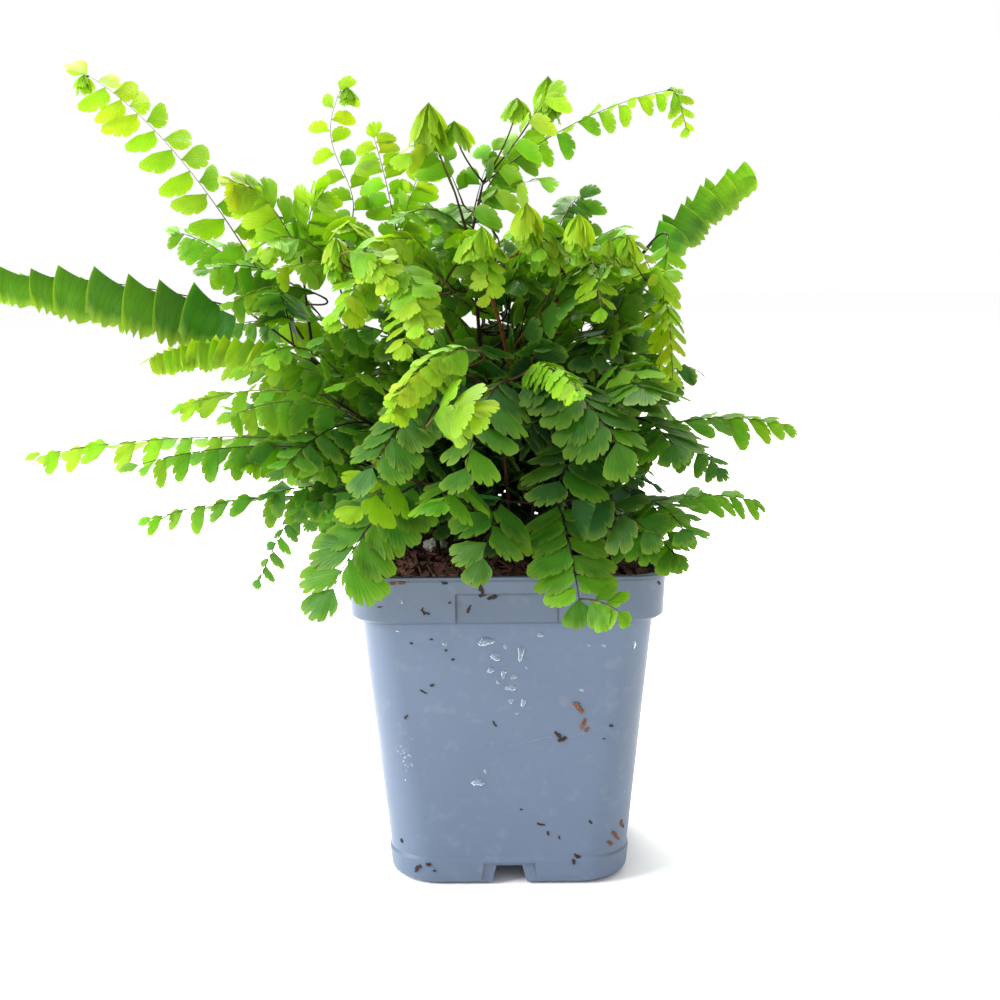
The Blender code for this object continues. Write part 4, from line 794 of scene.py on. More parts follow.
def turned(shape, quarter):
    """A block for the boolean steps, turned to one of the pot's sides."""
    points, faces = shape
    cos, sin = [(1, 0), (0, 1), (-1, 0), (0, -1)][quarter]
    around = [(x * cos - y * sin, x * sin + y * cos, z) for x, y, z in points]
    return mesh_piece("cutter", around, faces, False)


def combine(thing, others, operation):
    """Join or cut an object with others, which are then removed."""
    group = bpy.data.collections.new("operands")
    for other in others:
        group.objects.link(other)
    step = thing.modifiers.new(operation.lower(), "BOOLEAN")
    step.operation = operation
    step.operand_type = "COLLECTION"
    step.collection = group
    bpy.context.view_layer.update()
    seen = thing.evaluated_get(bpy.context.evaluated_depsgraph_get())
    shape = bpy.data.meshes.new_from_object(seen)
    thing.modifiers.clear()
    thing.data = shape
    for other in others:
        bpy.data.objects.remove(other, do_unlink=True)
    bpy.data.collections.remove(group)


def label_ring():
    """The label recess: upright sides that flare out in a small curve at the band's lower edge."""
    half = LABEL_WIDTH / 2.0
    low = BAND_FOOT_Z
    right = [(half + LABEL_FLARE, low - PAST), (half + LABEL_FLARE, low)]
    for step in range(1, 6):
        angle = math.radians(90.0 * step / 5.0)
        x = half + LABEL_FLARE * (1.0 - math.sin(angle))
        right.append((x, low + LABEL_FLARE * (1.0 - math.cos(angle))))
    right.append((half, LABEL_TOP_Z))
    return right + [(-x, z) for x, z in reversed(right)]


def notch_ring():
    """The drain notch: sloping sides with round lower corners."""
    slope = (NOTCH_FOOT_WIDTH - NOTCH_TOP_WIDTH) / NOTCH_HEIGHT / 2.0
    half = NOTCH_FOOT_WIDTH / 2.0
    right = [(half + NOTCH_CORNER, -PAST), (half + NOTCH_CORNER, 0.0)]
    for step in range(1, 5):
        share = step / 4.0
        x = half + NOTCH_CORNER * (1.0 - share) ** 2 - slope * NOTCH_CORNER * share
        right.append((x, NOTCH_CORNER * share))
    right.append((NOTCH_TOP_WIDTH / 2.0, NOTCH_HEIGHT))
    return right + [(-x, z) for x, z in reversed(right)]


def make_pot():
    foot_half = body_half(0.0) + FOOT_BAND_STEP
    fillet = []
    for step in range(6):
        angle = math.radians(90.0 * step / 5.0)
        z = FOOT_FILLET * (1.0 - math.cos(angle))
        fillet.append((foot_half + body_half(z) - body_half(0.0) - FOOT_FILLET * (1.0 - math.sin(angle)), z))
    rows = fillet + [(body_half(FOOT_BAND_HEIGHT) + FOOT_BAND_STEP, FOOT_BAND_HEIGHT),
                     (body_half(FOOT_BAND_HEIGHT), FOOT_BAND_HEIGHT + FOOT_BAND_STEP)]
    rows += [(body_half(z), z) for z in (20.0, 40.0, 60.0)]
    rows += [(body_half(BAND_FOOT_Z), BAND_FOOT_Z),
             (BAND_FOOT_HALF - BAND_CHAMFER, BAND_FOOT_Z),
             (BAND_FOOT_HALF, BAND_FOOT_Z + BAND_CHAMFER),
             (BAND_TOP_HALF, POT_HEIGHT - LIP_HEIGHT),
             (LIP_HALF, POT_HEIGHT - LIP_HEIGHT),
             (LIP_HALF, POT_HEIGHT)]
    inset = POT_WALL
    ledge = BAND_FOOT_Z + POT_WALL
    rows += [(BAND_TOP_HALF - inset, POT_HEIGHT),
             (BAND_FOOT_HALF - inset, ledge + INNER_FILLET),
             (body_half(ledge) - inset, ledge),
             (body_half(FLOOR_THICK) - inset, FLOOR_THICK + INNER_FILLET),
             (body_half(FLOOR_THICK) - inset - INNER_FILLET, FLOOR_THICK)]
    soft = soften(rows, SOFT_EDGE)
    pot = loft("pot_shell", [rounded_square(half, body_corner(z), z) for half, z in soft])

    side_wall = foot_half + PAST
    inner_wall = body_half(0.0) - POT_WALL
    housing = trapezoid(NOTCH_FOOT_WIDTH + 2 * POT_WALL, NOTCH_TOP_WIDTH + 2 * POT_WALL,
                        NOTCH_HEIGHT + POT_WALL, -inner_wall, -inner_wall + NOTCH_REACH,
                        foot=FLOOR_THICK / 2.0)
    combine(pot, [turned(housing, i) for i in range(4)], "UNION")
    tunnel = prism(notch_ring(), -side_wall, -inner_wall + NOTCH_REACH - POT_WALL)
    combine(pot, [turned(tunnel, i) for i in range(4)], "DIFFERENCE")
    surround = trapezoid(FRAME_FOOT_WIDTH, FRAME_TOP_WIDTH, FRAME_HEIGHT, -side_wall,
                         -foot_half + FRAME_DEPTH)
    combine(pot, [turned(surround, i) for i in range(4)], "DIFFERENCE")
    drain_far = -inner_wall + NOTCH_REACH - 2.0 * POT_WALL
    drain = trapezoid(DRAIN_WIDTH, DRAIN_WIDTH, 2.0 * NOTCH_HEIGHT, drain_far - DRAIN_LENGTH, drain_far,
                      foot=0.5 * NOTCH_HEIGHT)
    combine(pot, [turned(drain, i) for i in range(4)], "DIFFERENCE")
    recess = prism(label_ring(), -LIP_HALF - PAST, -(BAND_FOOT_HALF + BAND_TOP_HALF) / 2.0 + LABEL_DEPTH)
    combine(pot, [turned(recess, 0), turned(recess, 2)], "DIFFERENCE")

    pot.data.materials.clear()
    pot.data.materials.append(pot_material())
    pot.data.shade_smooth()
    pot.data.set_sharp_from_angle(angle=math.radians(SHARP_FROM))
    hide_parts("pot")
    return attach(pot, "root")


# Fronds
Spot = namedtuple("Spot", "centre along across normal")


def arch_point(start, end, lift, share):
    """A point on the way between two points, which rises by its lift at the middle."""
    return curve(start, (start + end) / 2.0 + UP * 2.0 * lift, end, share)


def arch_way(start, end, lift, share):
    """How the arch runs at a share of its length."""
    control = (start + end) / 2.0 + UP * 2.0 * lift
    return ((control - start) * (1.0 - share) + (end - control) * share) * 2.0


def stipe_path(frond):
    """Straight up out of its hole in the soil, then leaning over to the fork."""
    x, y = frond.foot
    foot = Vector((x, y, SOIL_LEVEL - HOLE_DEPTH + GAP))
    start = Vector((x, y, SOIL_LEVEL + STRAIGHT_FOOT))
    fork = Vector(frond.fork)
    control = start + UP * (STIPE_RISE * (fork.z - start.z)) + (fork - start) * STIPE_LEAN
    return [foot] + [curve(start, control, fork, step / (STIPE_RINGS - 1)) for step in range(STIPE_RINGS)]


def arm_points(frond, end):
    return [Vector(frond.fork).lerp(Vector(end), i / ARM_STEPS) for i in range(ARM_STEPS + 1)]


def pinna_root(frond, pinna):
    return Vector(frond.fork).lerp(Vector(frond.arms[pinna.arm]), pinna.at)


def rib_length(root, pinna):
    points = [arch_point(root, Vector(pinna.tip), pinna.lift, i / RIB_STEPS) for i in range(RIB_STEPS + 1)]
    return sum((b - a).length for a, b in zip(points, points[1:]))


def spot_at(root, pinna, share):
    """Where the rib is at a share of its length, and which way its blade lies there."""
    tip = Vector(pinna.tip)
    wave = math.tau * share
    way = arch_way(root, tip, pinna.lift, share) + RIGHT * (pinna.bow * math.tau * math.cos(wave))
    along = way.normalized()
    turn = math.radians(pinna.face)
    facing = Vector((0.0, -math.sin(turn), math.cos(turn)))
    normal = (facing - along * facing.dot(along)).normalized()
    centre = arch_point(root, tip, pinna.lift, share) + RIGHT * (pinna.bow * math.sin(wave))
    return Spot(centre, along, along.cross(normal), normal)


def leaf_size(pinna, share):
    """Leaflets grow a little after the root and shrink towards the tip."""
    style = STYLES[pinna.kind]
    return pinna.leaf * (FIRST_SHARE + style.swell * share - style.taper * share ** 2)


class Growth:
    """Points, faces and colours of one object, gathered piece by piece. Slot 0 is leaf, slot 1 is stem."""

    def __init__(self):
        self.points = []
        self.tints = []
        self.fans = []
        self.faces = []
        self.slots = []
        self.count = 0

    def add(self, points, faces, tints, fans, slot):
        self.points.append(np.asarray(points, dtype=np.float64))
        self.tints.append(np.asarray(tints, dtype=np.float64))
        self.fans.append(np.asarray(fans, dtype=np.float64))
        for face in faces:
            self.faces.append([i + self.count for i in face])
        self.slots += [slot] * len(faces)
        self.count += len(points)

    def add_leaf(self, points, faces, tint, fans):
        self.add(points, faces, np.tile(tint, (len(points), 1)), fans, 0)

    def build(self, name, materials):
        points = np.concatenate(self.points) * MM
        mesh = bpy.data.meshes.new(name)
        mesh.from_pydata(points.tolist(), [], self.faces)
        for made in materials:
            mesh.materials.append(made)
        mesh.polygons.foreach_set("material_index", self.slots)
        tints = np.concatenate(self.tints)
        paint(mesh, "tint", np.hstack([tints, np.ones((len(tints), 1))]))
        carry(mesh, "fan", np.concatenate(self.fans))
        mesh.shade_smooth()
        piece = bpy.data.objects.new(name, mesh)
        bpy.context.scene.collection.objects.link(piece)
        return piece


def grow_tube(growth, path, radii, tints):
    """A round bar through points, with a radius and a colour at each."""
    side = None
    points, colours = [], []
    last = len(path) - 1
    for i, centre in enumerate(path):
        way = (path[min(i + 1, last)] - path[max(i - 1, 0)]).normalized()
        side = way.orthogonal() if side is None else side - way * side.dot(way)
        side.normalize()
        across = way.cross(side)
        for corner in range(STEM_SIDES):
            angle = math.tau * corner / STEM_SIDES
            points.append(centre + (side * math.cos(angle) + across * math.sin(angle)) * radii[i])
            colours.append(tints[i])
    faces = [list(reversed(range(STEM_SIDES)))] + ring_faces(STEM_SIDES, last)
    faces.append([last * STEM_SIDES + i for i in range(STEM_SIDES)])
    growth.add([tuple(p) for p in points], faces, colours, np.zeros((len(points), 3)), 1)


def fan_shape(rng, style, rings):
    """A leaflet one unit long in its own plane, smooth on its lower margin and lobed round the rest.

    Gives the points as (out, along, up), the faces, and each point's place in the fan.
    """
    dense = np.linspace(math.radians(-FAN_LOW), math.radians(FAN_HIGH), FAN_SAMPLES)
    width = style.width * rng.uniform(0.9, 1.1)
    wide = np.where(dense < 0.0, FAN_BELLY, width)
    power = np.where(dense < 0.0, 2.0, style.power)
    reach = (np.abs(np.cos(dense)) ** power + np.abs(np.sin(dense) / wide) ** power) ** (-1.0 / power)
    steps = np.hypot(np.diff(reach * np.cos(dense)), np.diff(reach * np.sin(dense)))
    run = np.concatenate([[0.0], np.cumsum(steps)])
    smooth = np.interp(math.radians(LOBES_FROM), dense, run)
    lobes = rng.choice(style.lobes)
    widths = np.array([rng.uniform(0.75, 1.3) for _ in range(lobes)])
    ends = smooth + (run[-1] - smooth) * np.concatenate([[0.0], np.cumsum(widths)]) / widths.sum()
    places = [0.0, smooth * 0.35, smooth * 0.7]
    trims = [1.0, 1.0, 1.0]
    for lobe in range(lobes):
        cut = style.cut * rng.uniform(0.5, 1.5) if lobe else 0.0
        after = style.cut * rng.uniform(0.5, 1.2)
        dent = style.cut * rng.uniform(0.0, 1.0)
        for share, by_cut, by_dent, by_after in LOBE_RIM:
            places.append(ends[lobe] + (ends[lobe + 1] - ends[lobe]) * share)
            trims.append(1.0 - by_cut * cut - by_dent * dent - by_after * after)
    places.append(run[-1])
    trims.append(1.0 - 0.6 * style.cut)
    angles = np.interp(places, run, dense)
    corner = np.clip((np.degrees(angles) - ROUND_FROM) / (FAN_HIGH - ROUND_FROM), 0.0, 1.0)
    rim = np.interp(places, run, reach) * np.array(trims) * (1.0 - style.round * corner ** 2)
    order = np.array(places) / run[-1]
    waves = rng.uniform(0.0, math.tau)
    ruffle = rng.uniform(0.01, 0.045)
    bend = style.bend * rng.uniform(0.4, 1.6)
    points, fans = [(0.0, 0.0, 0.0)], [(0.5, 0.0, 0.0)]
    rays = len(places)
    for ring in range(1, rings + 1):
        share = (ring / rings) ** 0.8
        for angle, radius, place in zip(angles, rim, order):
            r = radius * share
            x, y = r * math.cos(angle), r * math.sin(angle)
            z = -bend * r * r + ruffle * share ** 2 * math.sin(place * math.tau * lobes * 0.5 + waves)
            points.append((x, y, z))
            fans.append((place, share, 0.0))
    faces = [[0, 1 + i, 2 + i] for i in range(rays - 1)]
    for ring in range(rings - 1):
        base = 1 + ring * rays
        for i in range(rays - 1):
            faces.append([base + i, base + rays + i, base + rays + i + 1, base + i + 1])
    return np.array(points), faces, np.array(fans)


def sail_shape(rng, style, rear=False):
    """A square leaflet one unit long, whose top corner stands up at the side of the rib's tip unless it is
    one of the rear row.
    """
    cols, rows = SAIL_COLUMNS, SAIL_ROWS
    lobes = rng.choice(style.lobes)
    start = rng.uniform(0.0, 0.5)
    deep = style.cut * rng.uniform(0.7, 1.3)
    ruffle = rng.uniform(0.02, 0.05)
    width = style.width * rng.uniform(0.94, 1.06)
    points, fans = [], []
    for row in range(rows + 1):
        down = row / rows
        for col in range(cols + 1):
            place = col / cols
            top = REAR_TOP if rear else 0.02 - (0.02 + style.spike) * place ** 1.5
            lobe = abs(math.sin(math.pi * (place * lobes + start)))
            foot = SAIL_REACH * (0.97 - 0.16 * abs(2.0 * place - 1.0) ** 3 - deep * (1.0 - lobe) ** 2)
            x = top + (foot - top) * down
            y = width * (place * (1.0 + 0.07 * math.sin(math.pi * down) - 0.05 * down) - 0.04)
            z = (style.bend * (place ** 2 - 1.3 * down ** 2)
                 + ruffle * down ** 2 * math.sin(math.tau * (place * lobes * 0.5 + start)))
            points.append((x, y, z))
            spread = place + (0.75 - place) * 0.5 * (1.0 - down)
            # The third number of each fan strengthens the painted highlight on the margin
            fans.append((spread, max(down, min(max((place - 0.90) / 0.10, 0.0), 1.0) * 0.95), 1.0))
    faces = []
    for row in range(rows):
        for col in range(cols):
            near = row * (cols + 1) + col
            faces.append([near, near + cols + 1, near + cols + 2, near + 1])
    return np.array(points), faces, np.array(fans)


def end_shape(rng):
    """The leaflet at a rib's tip: a small wedge-shaped fan, alike on both sides."""
    points, faces, fans = fan_shape(rng, STYLES["broad"], FILL_RINGS)
    turn = math.radians(FAN_HIGH / 2.0)
    x = points[:, 0] * math.sin(turn) - points[:, 1] * math.cos(turn)
    y = points[:, 0] * math.cos(turn) + points[:, 1] * math.sin(turn)
    return np.stack([x, y, points[:, 2]], axis=1), faces, fans


def mirrored(shape):
    """The same leaflet with its lobes on the other side."""
    points, faces, fans = shape
    return points * np.array([1.0, -1.0, 1.0]), [face[::-1] for face in faces], fans


def leaf_tint(rng, shade):
    """The colour of one leaflet, near its pinna's shade."""
    stray = rng.uniform(-SHADE_STRAY, SHADE_STRAY)
    colour = blend_colour(LEAF_COLOURS, min(max(shade + stray, 0.0), 1.0))
    return [c * rng.uniform(1.0 - TINT_STRAY, 1.0 + TINT_STRAY) for c in colour]


def hits_pot(points):
    """Whether a leaflet would run into the rim or the soil."""
    x, y, z = points[:, 0], points[:, 1], points[:, 2]
    edge = LIP_HALF + RIM_CLEARANCE
    inside = (np.abs(x) < edge) & (np.abs(y) < edge) & (z < POT_HEIGHT + RIM_CLEARANCE)
    return bool(inside.any())


def place_leaflet(growth, rng, spot, shape, side, size, droop, style, shade, stretch):
    """Set a leaflet beside the rib, hung and tipped like the leaflets next to it."""
    points, faces, fans = shape
    angle = math.radians(droop + rng.uniform(-0.6, 0.6) * style.stray)
    out = (spot.across * (side * math.cos(angle)) - spot.normal * math.sin(angle)).normalized()
    out = (out + spot.along * style.sweep).normalized()
    along = (spot.along - out * out.dot(spot.along)).normalized()
    up = (out.cross(along) * side).normalized()
    tilt = Matrix.Rotation(math.radians(SHINGLE + rng.uniform(-0.8, 0.8) * style.stray) * side, 3, out)
    along, up = tilt @ along, tilt @ up
    yaw = Matrix.Rotation(math.radians(rng.uniform(-1.0, 1.0) * style.stray), 3, up)
    out, along = yaw @ out, yaw @ along
    stalk = spot.centre + out * STALK_LENGTH + up * style.over
    basis = np.array([out, along * stretch, up]) * size
    placed = points @ basis + np.array(stalk)
    placed[0] = spot.centre
    if hits_pot(placed):
        return False
    tint = leaf_tint(rng, shade)
    growth.add_leaf(placed, faces if side > 0 else [face[::-1] for face in faces], tint, fans)
    return True


def stem_colour(frond):
    return np.array(STEM_DARK) + (np.array(STEM_LIGHT) - np.array(STEM_DARK)) * frond.stem


def grow_pinna(growth, rng, frond, pinna, root, shapes):
    """The thin rib and its two rows of leaflets."""
    style = STYLES[pinna.kind]
    length = rib_length(root, pinna)
    rib = [spot_at(root, pinna, i / RIB_RINGS).centre for i in range(RIB_RINGS + 1)]
    dark = stem_colour(frond)
    youth = max(pinna.shade - 0.5, 0.0)
    radii, tints = [], []
    for i in range(RIB_RINGS + 1):
        share = i / RIB_RINGS
        slim = 1.0 + (style.rib - 1.0) * min(3.0 * share, 1.0)
        radii.append((RIB_RADIUS + (RIB_TIP_RADIUS - RIB_RADIUS) * share) * slim)
        tints.append(dark + (np.array(RIB_YOUNG) - dark) * min((0.8 + 1.6 * share) * youth * 2.2, 1.0))
    grow_tube(growth, rib, radii, tints)

    distance = BARE_RIB
    side = 1
    while True:
        share = distance / length
        size = leaf_size(pinna, share)
        if distance > length - END_GAP * size:
            break
        spot = spot_at(root, pinna, share)
        rear = style.spike and side * spot.along.x < 0.0
        shape = rng.choice(shapes["rear " + pinna.kind if rear else pinna.kind])
        if pinna.lobes < 0:
            shape = mirrored(shape)
        grown = size * rng.uniform(0.9, 1.08)
        stretch = FIRST_SHARE * pinna.leaf / size if style.spike > SPIKE_EVEN else 1.0
        shade = pinna.shade + SHADE_RISE * (share - 0.5)
        for ease, shrink in EASES:
            if place_leaflet(growth, rng, spot, shape, side, grown * shrink, pinna.droop + ease, style,
                             shade, stretch):
                break
        distance += 0.5 * style.pitch * size * stretch
        side = -side
    tip = spot_at(root, pinna, 1.0)
    points, faces, fans = rng.choice(shapes["end"])
    size = END_SHARE * leaf_size(pinna, 1.0)
    basis = np.array([tip.across, tip.along, tip.normal]) * size
    placed = points @ basis + np.array(tip.centre)
    if not hits_pot(placed):
        growth.add_leaf(placed, faces, leaf_tint(rng, pinna.shade + 0.05), fans)


def grow_stems(growth, frond):
    dark = stem_colour(frond)
    path = stipe_path(frond)
    last = len(path) - 1
    radii = [STIPE_RADIUS + (ARM_RADIUS - STIPE_RADIUS) * i / last for i in range(last + 1)]
    grow_tube(growth, path, radii, [dark] * len(path))
    for end in frond.arms:
        arm = arm_points(frond, end)
        radii = [ARM_RADIUS + (RIB_RADIUS - ARM_RADIUS) * i / ARM_STEPS for i in range(ARM_STEPS + 1)]
        grow_tube(growth, arm, radii, [dark] * len(arm))


def grow_cluster(growth, rng, frond, cluster, shapes):
    """Folded leaflets that hang all round a short rib, in tiers from its top."""
    top = Vector(cluster.top)
    step = CLUSTER_STEP * cluster.leaf
    foot = top - UP * (step * (cluster.tiers - 0.5))
    rib = [top.lerp(foot, i / CLUSTER_RINGS) for i in range(CLUSTER_RINGS + 1)]
    grow_tube(growth, rib, [RIB_TIP_RADIUS] * len(rib), [RIB_YOUNG] * len(rib))
    for tier in range(cluster.tiers):
        centre = top - UP * (step * tier)
        size = cluster.leaf * CLUSTER_SHRINK ** tier
        start = rng.uniform(0.0, 360.0)
        for number in range(CLUSTER_LEAVES):
            toward = math.radians(start + 360.0 * number / CLUSTER_LEAVES + rng.uniform(-14.0, 14.0))
            tilt = math.radians(cluster.spread * rng.uniform(0.7, 1.3))
            flat = Vector((math.cos(toward), math.sin(toward), 0.0))
            down = flat * math.sin(tilt) - UP * math.cos(tilt)
            normal = flat * math.cos(tilt) + UP * math.sin(tilt)
            points, faces, fans = rng.choice(shapes["end"])
            grown = size * rng.uniform(0.85, 1.1)
            basis = np.array([down.cross(normal) * CLUSTER_FOLD, down, normal]) * grown
            placed = points @ basis + np.array(centre + flat * RIB_RADIUS)
            placed[0] = centre
            growth.add_leaf(placed, faces, leaf_tint(rng, cluster.shade - CLUSTER_DARKER * tier), fans)


# Pinnae deeper in the crown, which only the thick of the plant shows
def inside(outline, x, z):
    """Whether a point is inside an outline."""
    found = False
    for (ax, az), (bx, bz) in zip(outline, outline[1:] + outline[:1]):
        if (az > z) != (bz > z) and x < ax + (bx - ax) * (z - az) / (bz - az):
            found = not found
    return found


def seen(point):
    """Where a point stands on the plane through the pot's middle, looking from in front."""
    eye = Vector(CAMERA_PLACE) / MM
    return eye + (point - eye) * (eye.y / (eye.y - point.y))


def in_crown(point):
    shown = seen(point)
    if not inside(CROWN, shown.x, shown.z):
        return False
    for (x, z), (wide, high) in WINDOWS:
        if ((shown.x - x) / wide) ** 2 + ((shown.z - z) / high) ** 2 < 1.0:
            return False
    return True


def stem_points(frond):
    """Points along a frond's stems that a twig can leave from."""
    points = stipe_path(frond)[STIPE_RINGS // 2:]
    for end in frond.arms:
        points += arm_points(frond, end)[1:]
    return points


def joint_cost(joint, root):
    """How badly a twig would run from a joint to a root: short and rising is best."""
    return (joint - root).length + max(joint.z - root.z, 0.0)


def between(value, none, full):
    """How far a value is from one end to the other, from 0 to 1."""
    return min(max((value - none) / (full - none), 0.0), 1.0)


def fill_pinnae():
    """Pinnae spread through the crown, each with the frond it belongs to, its joint and its root."""
    rng = random.Random(59)
    joints = [(frond.name, point) for frond in FRONDS for point in stem_points(frond)]
    found, tips = [], []
    for _ in range(60 * FILL_COUNT):
        if len(found) == FILL_COUNT:
            break
        tip = Vector((rng.uniform(*FILL_WIDE), rng.uniform(*FILL_DEEP), rng.uniform(*FILL_HIGH)))
        reach = rng.uniform(*FILL_REACH)
        heart = Vector((*FILL_HEART, max(tip.z - rng.uniform(5, 40), FILL_LOWEST_ROOT)))
        inward = heart - tip
        reach = min(reach, inward.length * 0.9)
        root = tip + inward.normalized() * reach
        if reach < FILL_SHORTEST or not in_crown(tip) or not in_crown(tip.lerp(root, 0.5)):
            continue
        thin = tip.x < FILL_THIN_LEFT or tip.z > FILL_THIN_TOP
        if any((tip - other).length < (FILL_SPARSE if thin else FILL_SPACING) for other in tips):
            continue
        name, joint = min(joints, key=lambda pair: joint_cost(pair[1], root))
        # Painted light and shade in part: a fill is lighter the higher it stands and towards the left and
        # right flanks, where light falls on the crown, and darker low in its middle, where shade falls
        height = between(tip.z, 120, 210)
        left = between(tip.x, 0, -80)
        right = between(tip.x, 0, 45)
        shade = (0.06 + 0.75 * height + 0.46 * left * (1.0 - height) + 0.26 * right * height
                 + rng.uniform(-0.12, 0.16))
        face = rng.uniform(5, 45) - FILL_FLATTER * (1.0 - height) if tip.y < 15 else rng.uniform(-40, 15)
        leaf = (FILL_LEAF + (FILL_LEAF_HIGH - FILL_LEAF) * height) * rng.uniform(0.88, 1.14)
        pinna = Pinna(0, 0.0, tuple(tip), rng.uniform(2, 7), leaf, face, rng.uniform(0, 40), shade, "fill")
        tips.append(tip)
        found.append((name, joint, root, pinna))
    return found


def grow_twig(growth, frond, joint, root, way, youth=0.0):
    """A twig that leaves its joint and ends at a root, running the way that the next piece goes on."""
    onward = (root - joint).normalized()
    way = way.normalized()
    eased = (way + onward * max(TWIG_EASE - way.dot(onward), 0.0)).normalized()
    bend = root - eased * min(TWIG_BEND * (root - joint).length, TWIG_REACH)
    last = TWIG_RINGS - 1
    path = [curve(joint, bend, root, i / last) for i in range(TWIG_RINGS)]
    tint = stem_colour(frond)
    young = tint + (np.array(RIB_YOUNG) - tint) * youth
    radii = [RIB_RADIUS * (1.0 - 0.4 * youth * i / last) for i in range(TWIG_RINGS)]
    grow_tube(growth, path, radii, [tint + (young - tint) * i / last for i in range(TWIG_RINGS)])


def pinna_way(root, pinna):
    return arch_way(root, Vector(pinna.tip), pinna.lift, 0.0)


def twig_start(joints, given, root):
    """The joint that a twig is given, or else the one that it runs best from."""
    return Vector(given) if given else min(joints, key=lambda point: joint_cost(point, root))


def make_frond(number, frond, fills, shapes, materials):
    rng = random.Random(400 + number)
    growth = Growth()
    grow_stems(growth, frond)
    for pinna in frond.pinnae:
        grow_pinna(growth, rng, frond, pinna, pinna_root(frond, pinna), shapes)
    joints = stem_points(frond)
    for name, root, pinna, start in EXTRAS:
        if name == frond.name:
            root = Vector(root)
            grow_twig(growth, frond, twig_start(joints, start, root), root, pinna_way(root, pinna))
            grow_pinna(growth, rng, frond, pinna, root, shapes)
    for cluster in CLUSTERS:
        if cluster.frond == frond.name:
            top = Vector(cluster.top)
            grow_twig(growth, frond, twig_start(joints, cluster.joint, top), top, UP, 1.0)
            grow_cluster(growth, rng, frond, cluster, shapes)
    for name, joint, root, pinna in fills:
        if name == frond.name:
            grow_twig(growth, frond, joint, root, pinna_way(root, pinna))
            grow_pinna(growth, rng, frond, pinna, root, shapes)
    piece = growth.build(frond.name + "_grown", materials)
    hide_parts(frond.name)
    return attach(piece, "root")


def make_fronds():
    rng = random.Random(7)
    shapes = {}
    for kind, style in STYLES.items():
        if style.spike:
            shapes[kind] = [sail_shape(rng, style) for _ in range(SHAPES_EACH)]
            shapes["rear " + kind] = [sail_shape(rng, style, True) for _ in range(SHAPES_EACH)]
        else:
            rings = FILL_RINGS if kind == "fill" else FAN_RINGS
            shapes[kind] = [fan_shape(rng, style, rings) for _ in range(SHAPES_EACH)]
    shapes["end"] = [end_shape(rng) for _ in range(END_SHAPES)]
    materials = [leaf_material(), stem_material()]
    fills = fill_pinnae()
    for number, frond in enumerate(FRONDS):
        make_frond(number, frond, fills, shapes, materials)


# Drops, crumbs and the scratch on the pot
def wall_half(x, z, quarter):
    """Half the pot's width where a mark sits."""
    if z >= POT_HEIGHT - LIP_HEIGHT:
        return LIP_HALF
    if z < BAND_FOOT_Z:
        return body_half(z) + (FOOT_BAND_STEP if z < FOOT_BAND_HEIGHT else 0.0)
    if quarter % 2 == 0 and abs(x) < LABEL_WIDTH / 2.0 and z < LABEL_TOP_Z:
        return (BAND_FOOT_HALF + BAND_TOP_HALF) / 2.0 - LABEL_DEPTH
    share = (z - BAND_FOOT_Z) / (POT_HEIGHT - BAND_FOOT_Z)
    return BAND_FOOT_HALF + (BAND_TOP_HALF - BAND_FOOT_HALF) * share


def wall_spot(x, z, quarter=0):
    """A point on one side of the pot, with the ways across, up and out of it."""
    half, corner = wall_half(x, z, quarter), body_corner(z)
    past = max(abs(x) - (half - corner), 0.0)
    angle = math.copysign(math.asin(min(past / corner, 0.95)), x)
    depth = half - corner + corner * math.cos(angle)
    slope = (BODY_TOP_HALF - BODY_FOOT_HALF) / BAND_FOOT_Z if z < BAND_FOOT_Z else 0.0
    out = Vector((math.sin(angle), -math.cos(angle), -slope)).normalized()
    across = UP.cross(-out).normalized()
    spin = Matrix.Rotation(math.radians(90.0 * quarter), 3, "Z")
    return spin @ Vector((x, -depth, z)), spin @ across, spin @ across.cross(out), spin @ out


def drop_points(rng, wall, wide, tall):
    """A flat bead of water that hangs a little, in rings from its foot to its crown."""
    place, across, up, out = wall
    height = DROP_HEIGHT * (wide + tall) / 2.0
    wave, other = rng.uniform(0, math.tau), rng.uniform(0, math.tau)
    points = []
    for ring in range(DROP_RINGS):
        slope = ring / DROP_RINGS * math.pi / 2.0
        level = out * (height * math.sin(slope) - SUNK)
        for step in range(DROP_SIDES):
            angle = math.tau * step / DROP_SIDES
            swell = 1.0 + 0.16 * math.sin(2 * angle + wave) + 0.17 * math.sin(3 * angle + other)
            flat = 0.5 * math.cos(slope) * swell
            hang = DROP_HANG if math.sin(angle) < 0.0 else 2.0 - DROP_HANG
            aside, rise = wide * flat * math.cos(angle), tall * flat * hang * math.sin(angle)
            points.append(place + across * aside + up * rise + level)
    points.append(place + out * (height - SUNK))
    return points


def drop_faces():
    faces = [list(reversed(range(DROP_SIDES)))] + ring_faces(DROP_SIDES, DROP_RINGS - 1)
    base = (DROP_RINGS - 1) * DROP_SIDES
    for step in range(DROP_SIDES):
        faces.append([base + step, base + (step + 1) % DROP_SIDES, DROP_RINGS * DROP_SIDES])
    return faces


def gather(name, shapes, faces, material, smooth=False):
    """One object of many shapes that share their faces."""
    points, all_faces = [], []
    for shape in shapes:
        base = len(points)
        points += [tuple(p) for p in shape]
        all_faces += [[i + base for i in face] for face in faces]
    piece = mesh_piece(name, points, all_faces, smooth)
    piece.data.materials.append(material)
    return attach(piece, "root")


def random_spot(rng, quarter, heights):
    low, high = rng.choice(heights)
    z = rng.uniform(low, high)
    reach = body_half(z) - 4.0
    return wall_spot(rng.uniform(-reach, reach), z, quarter)


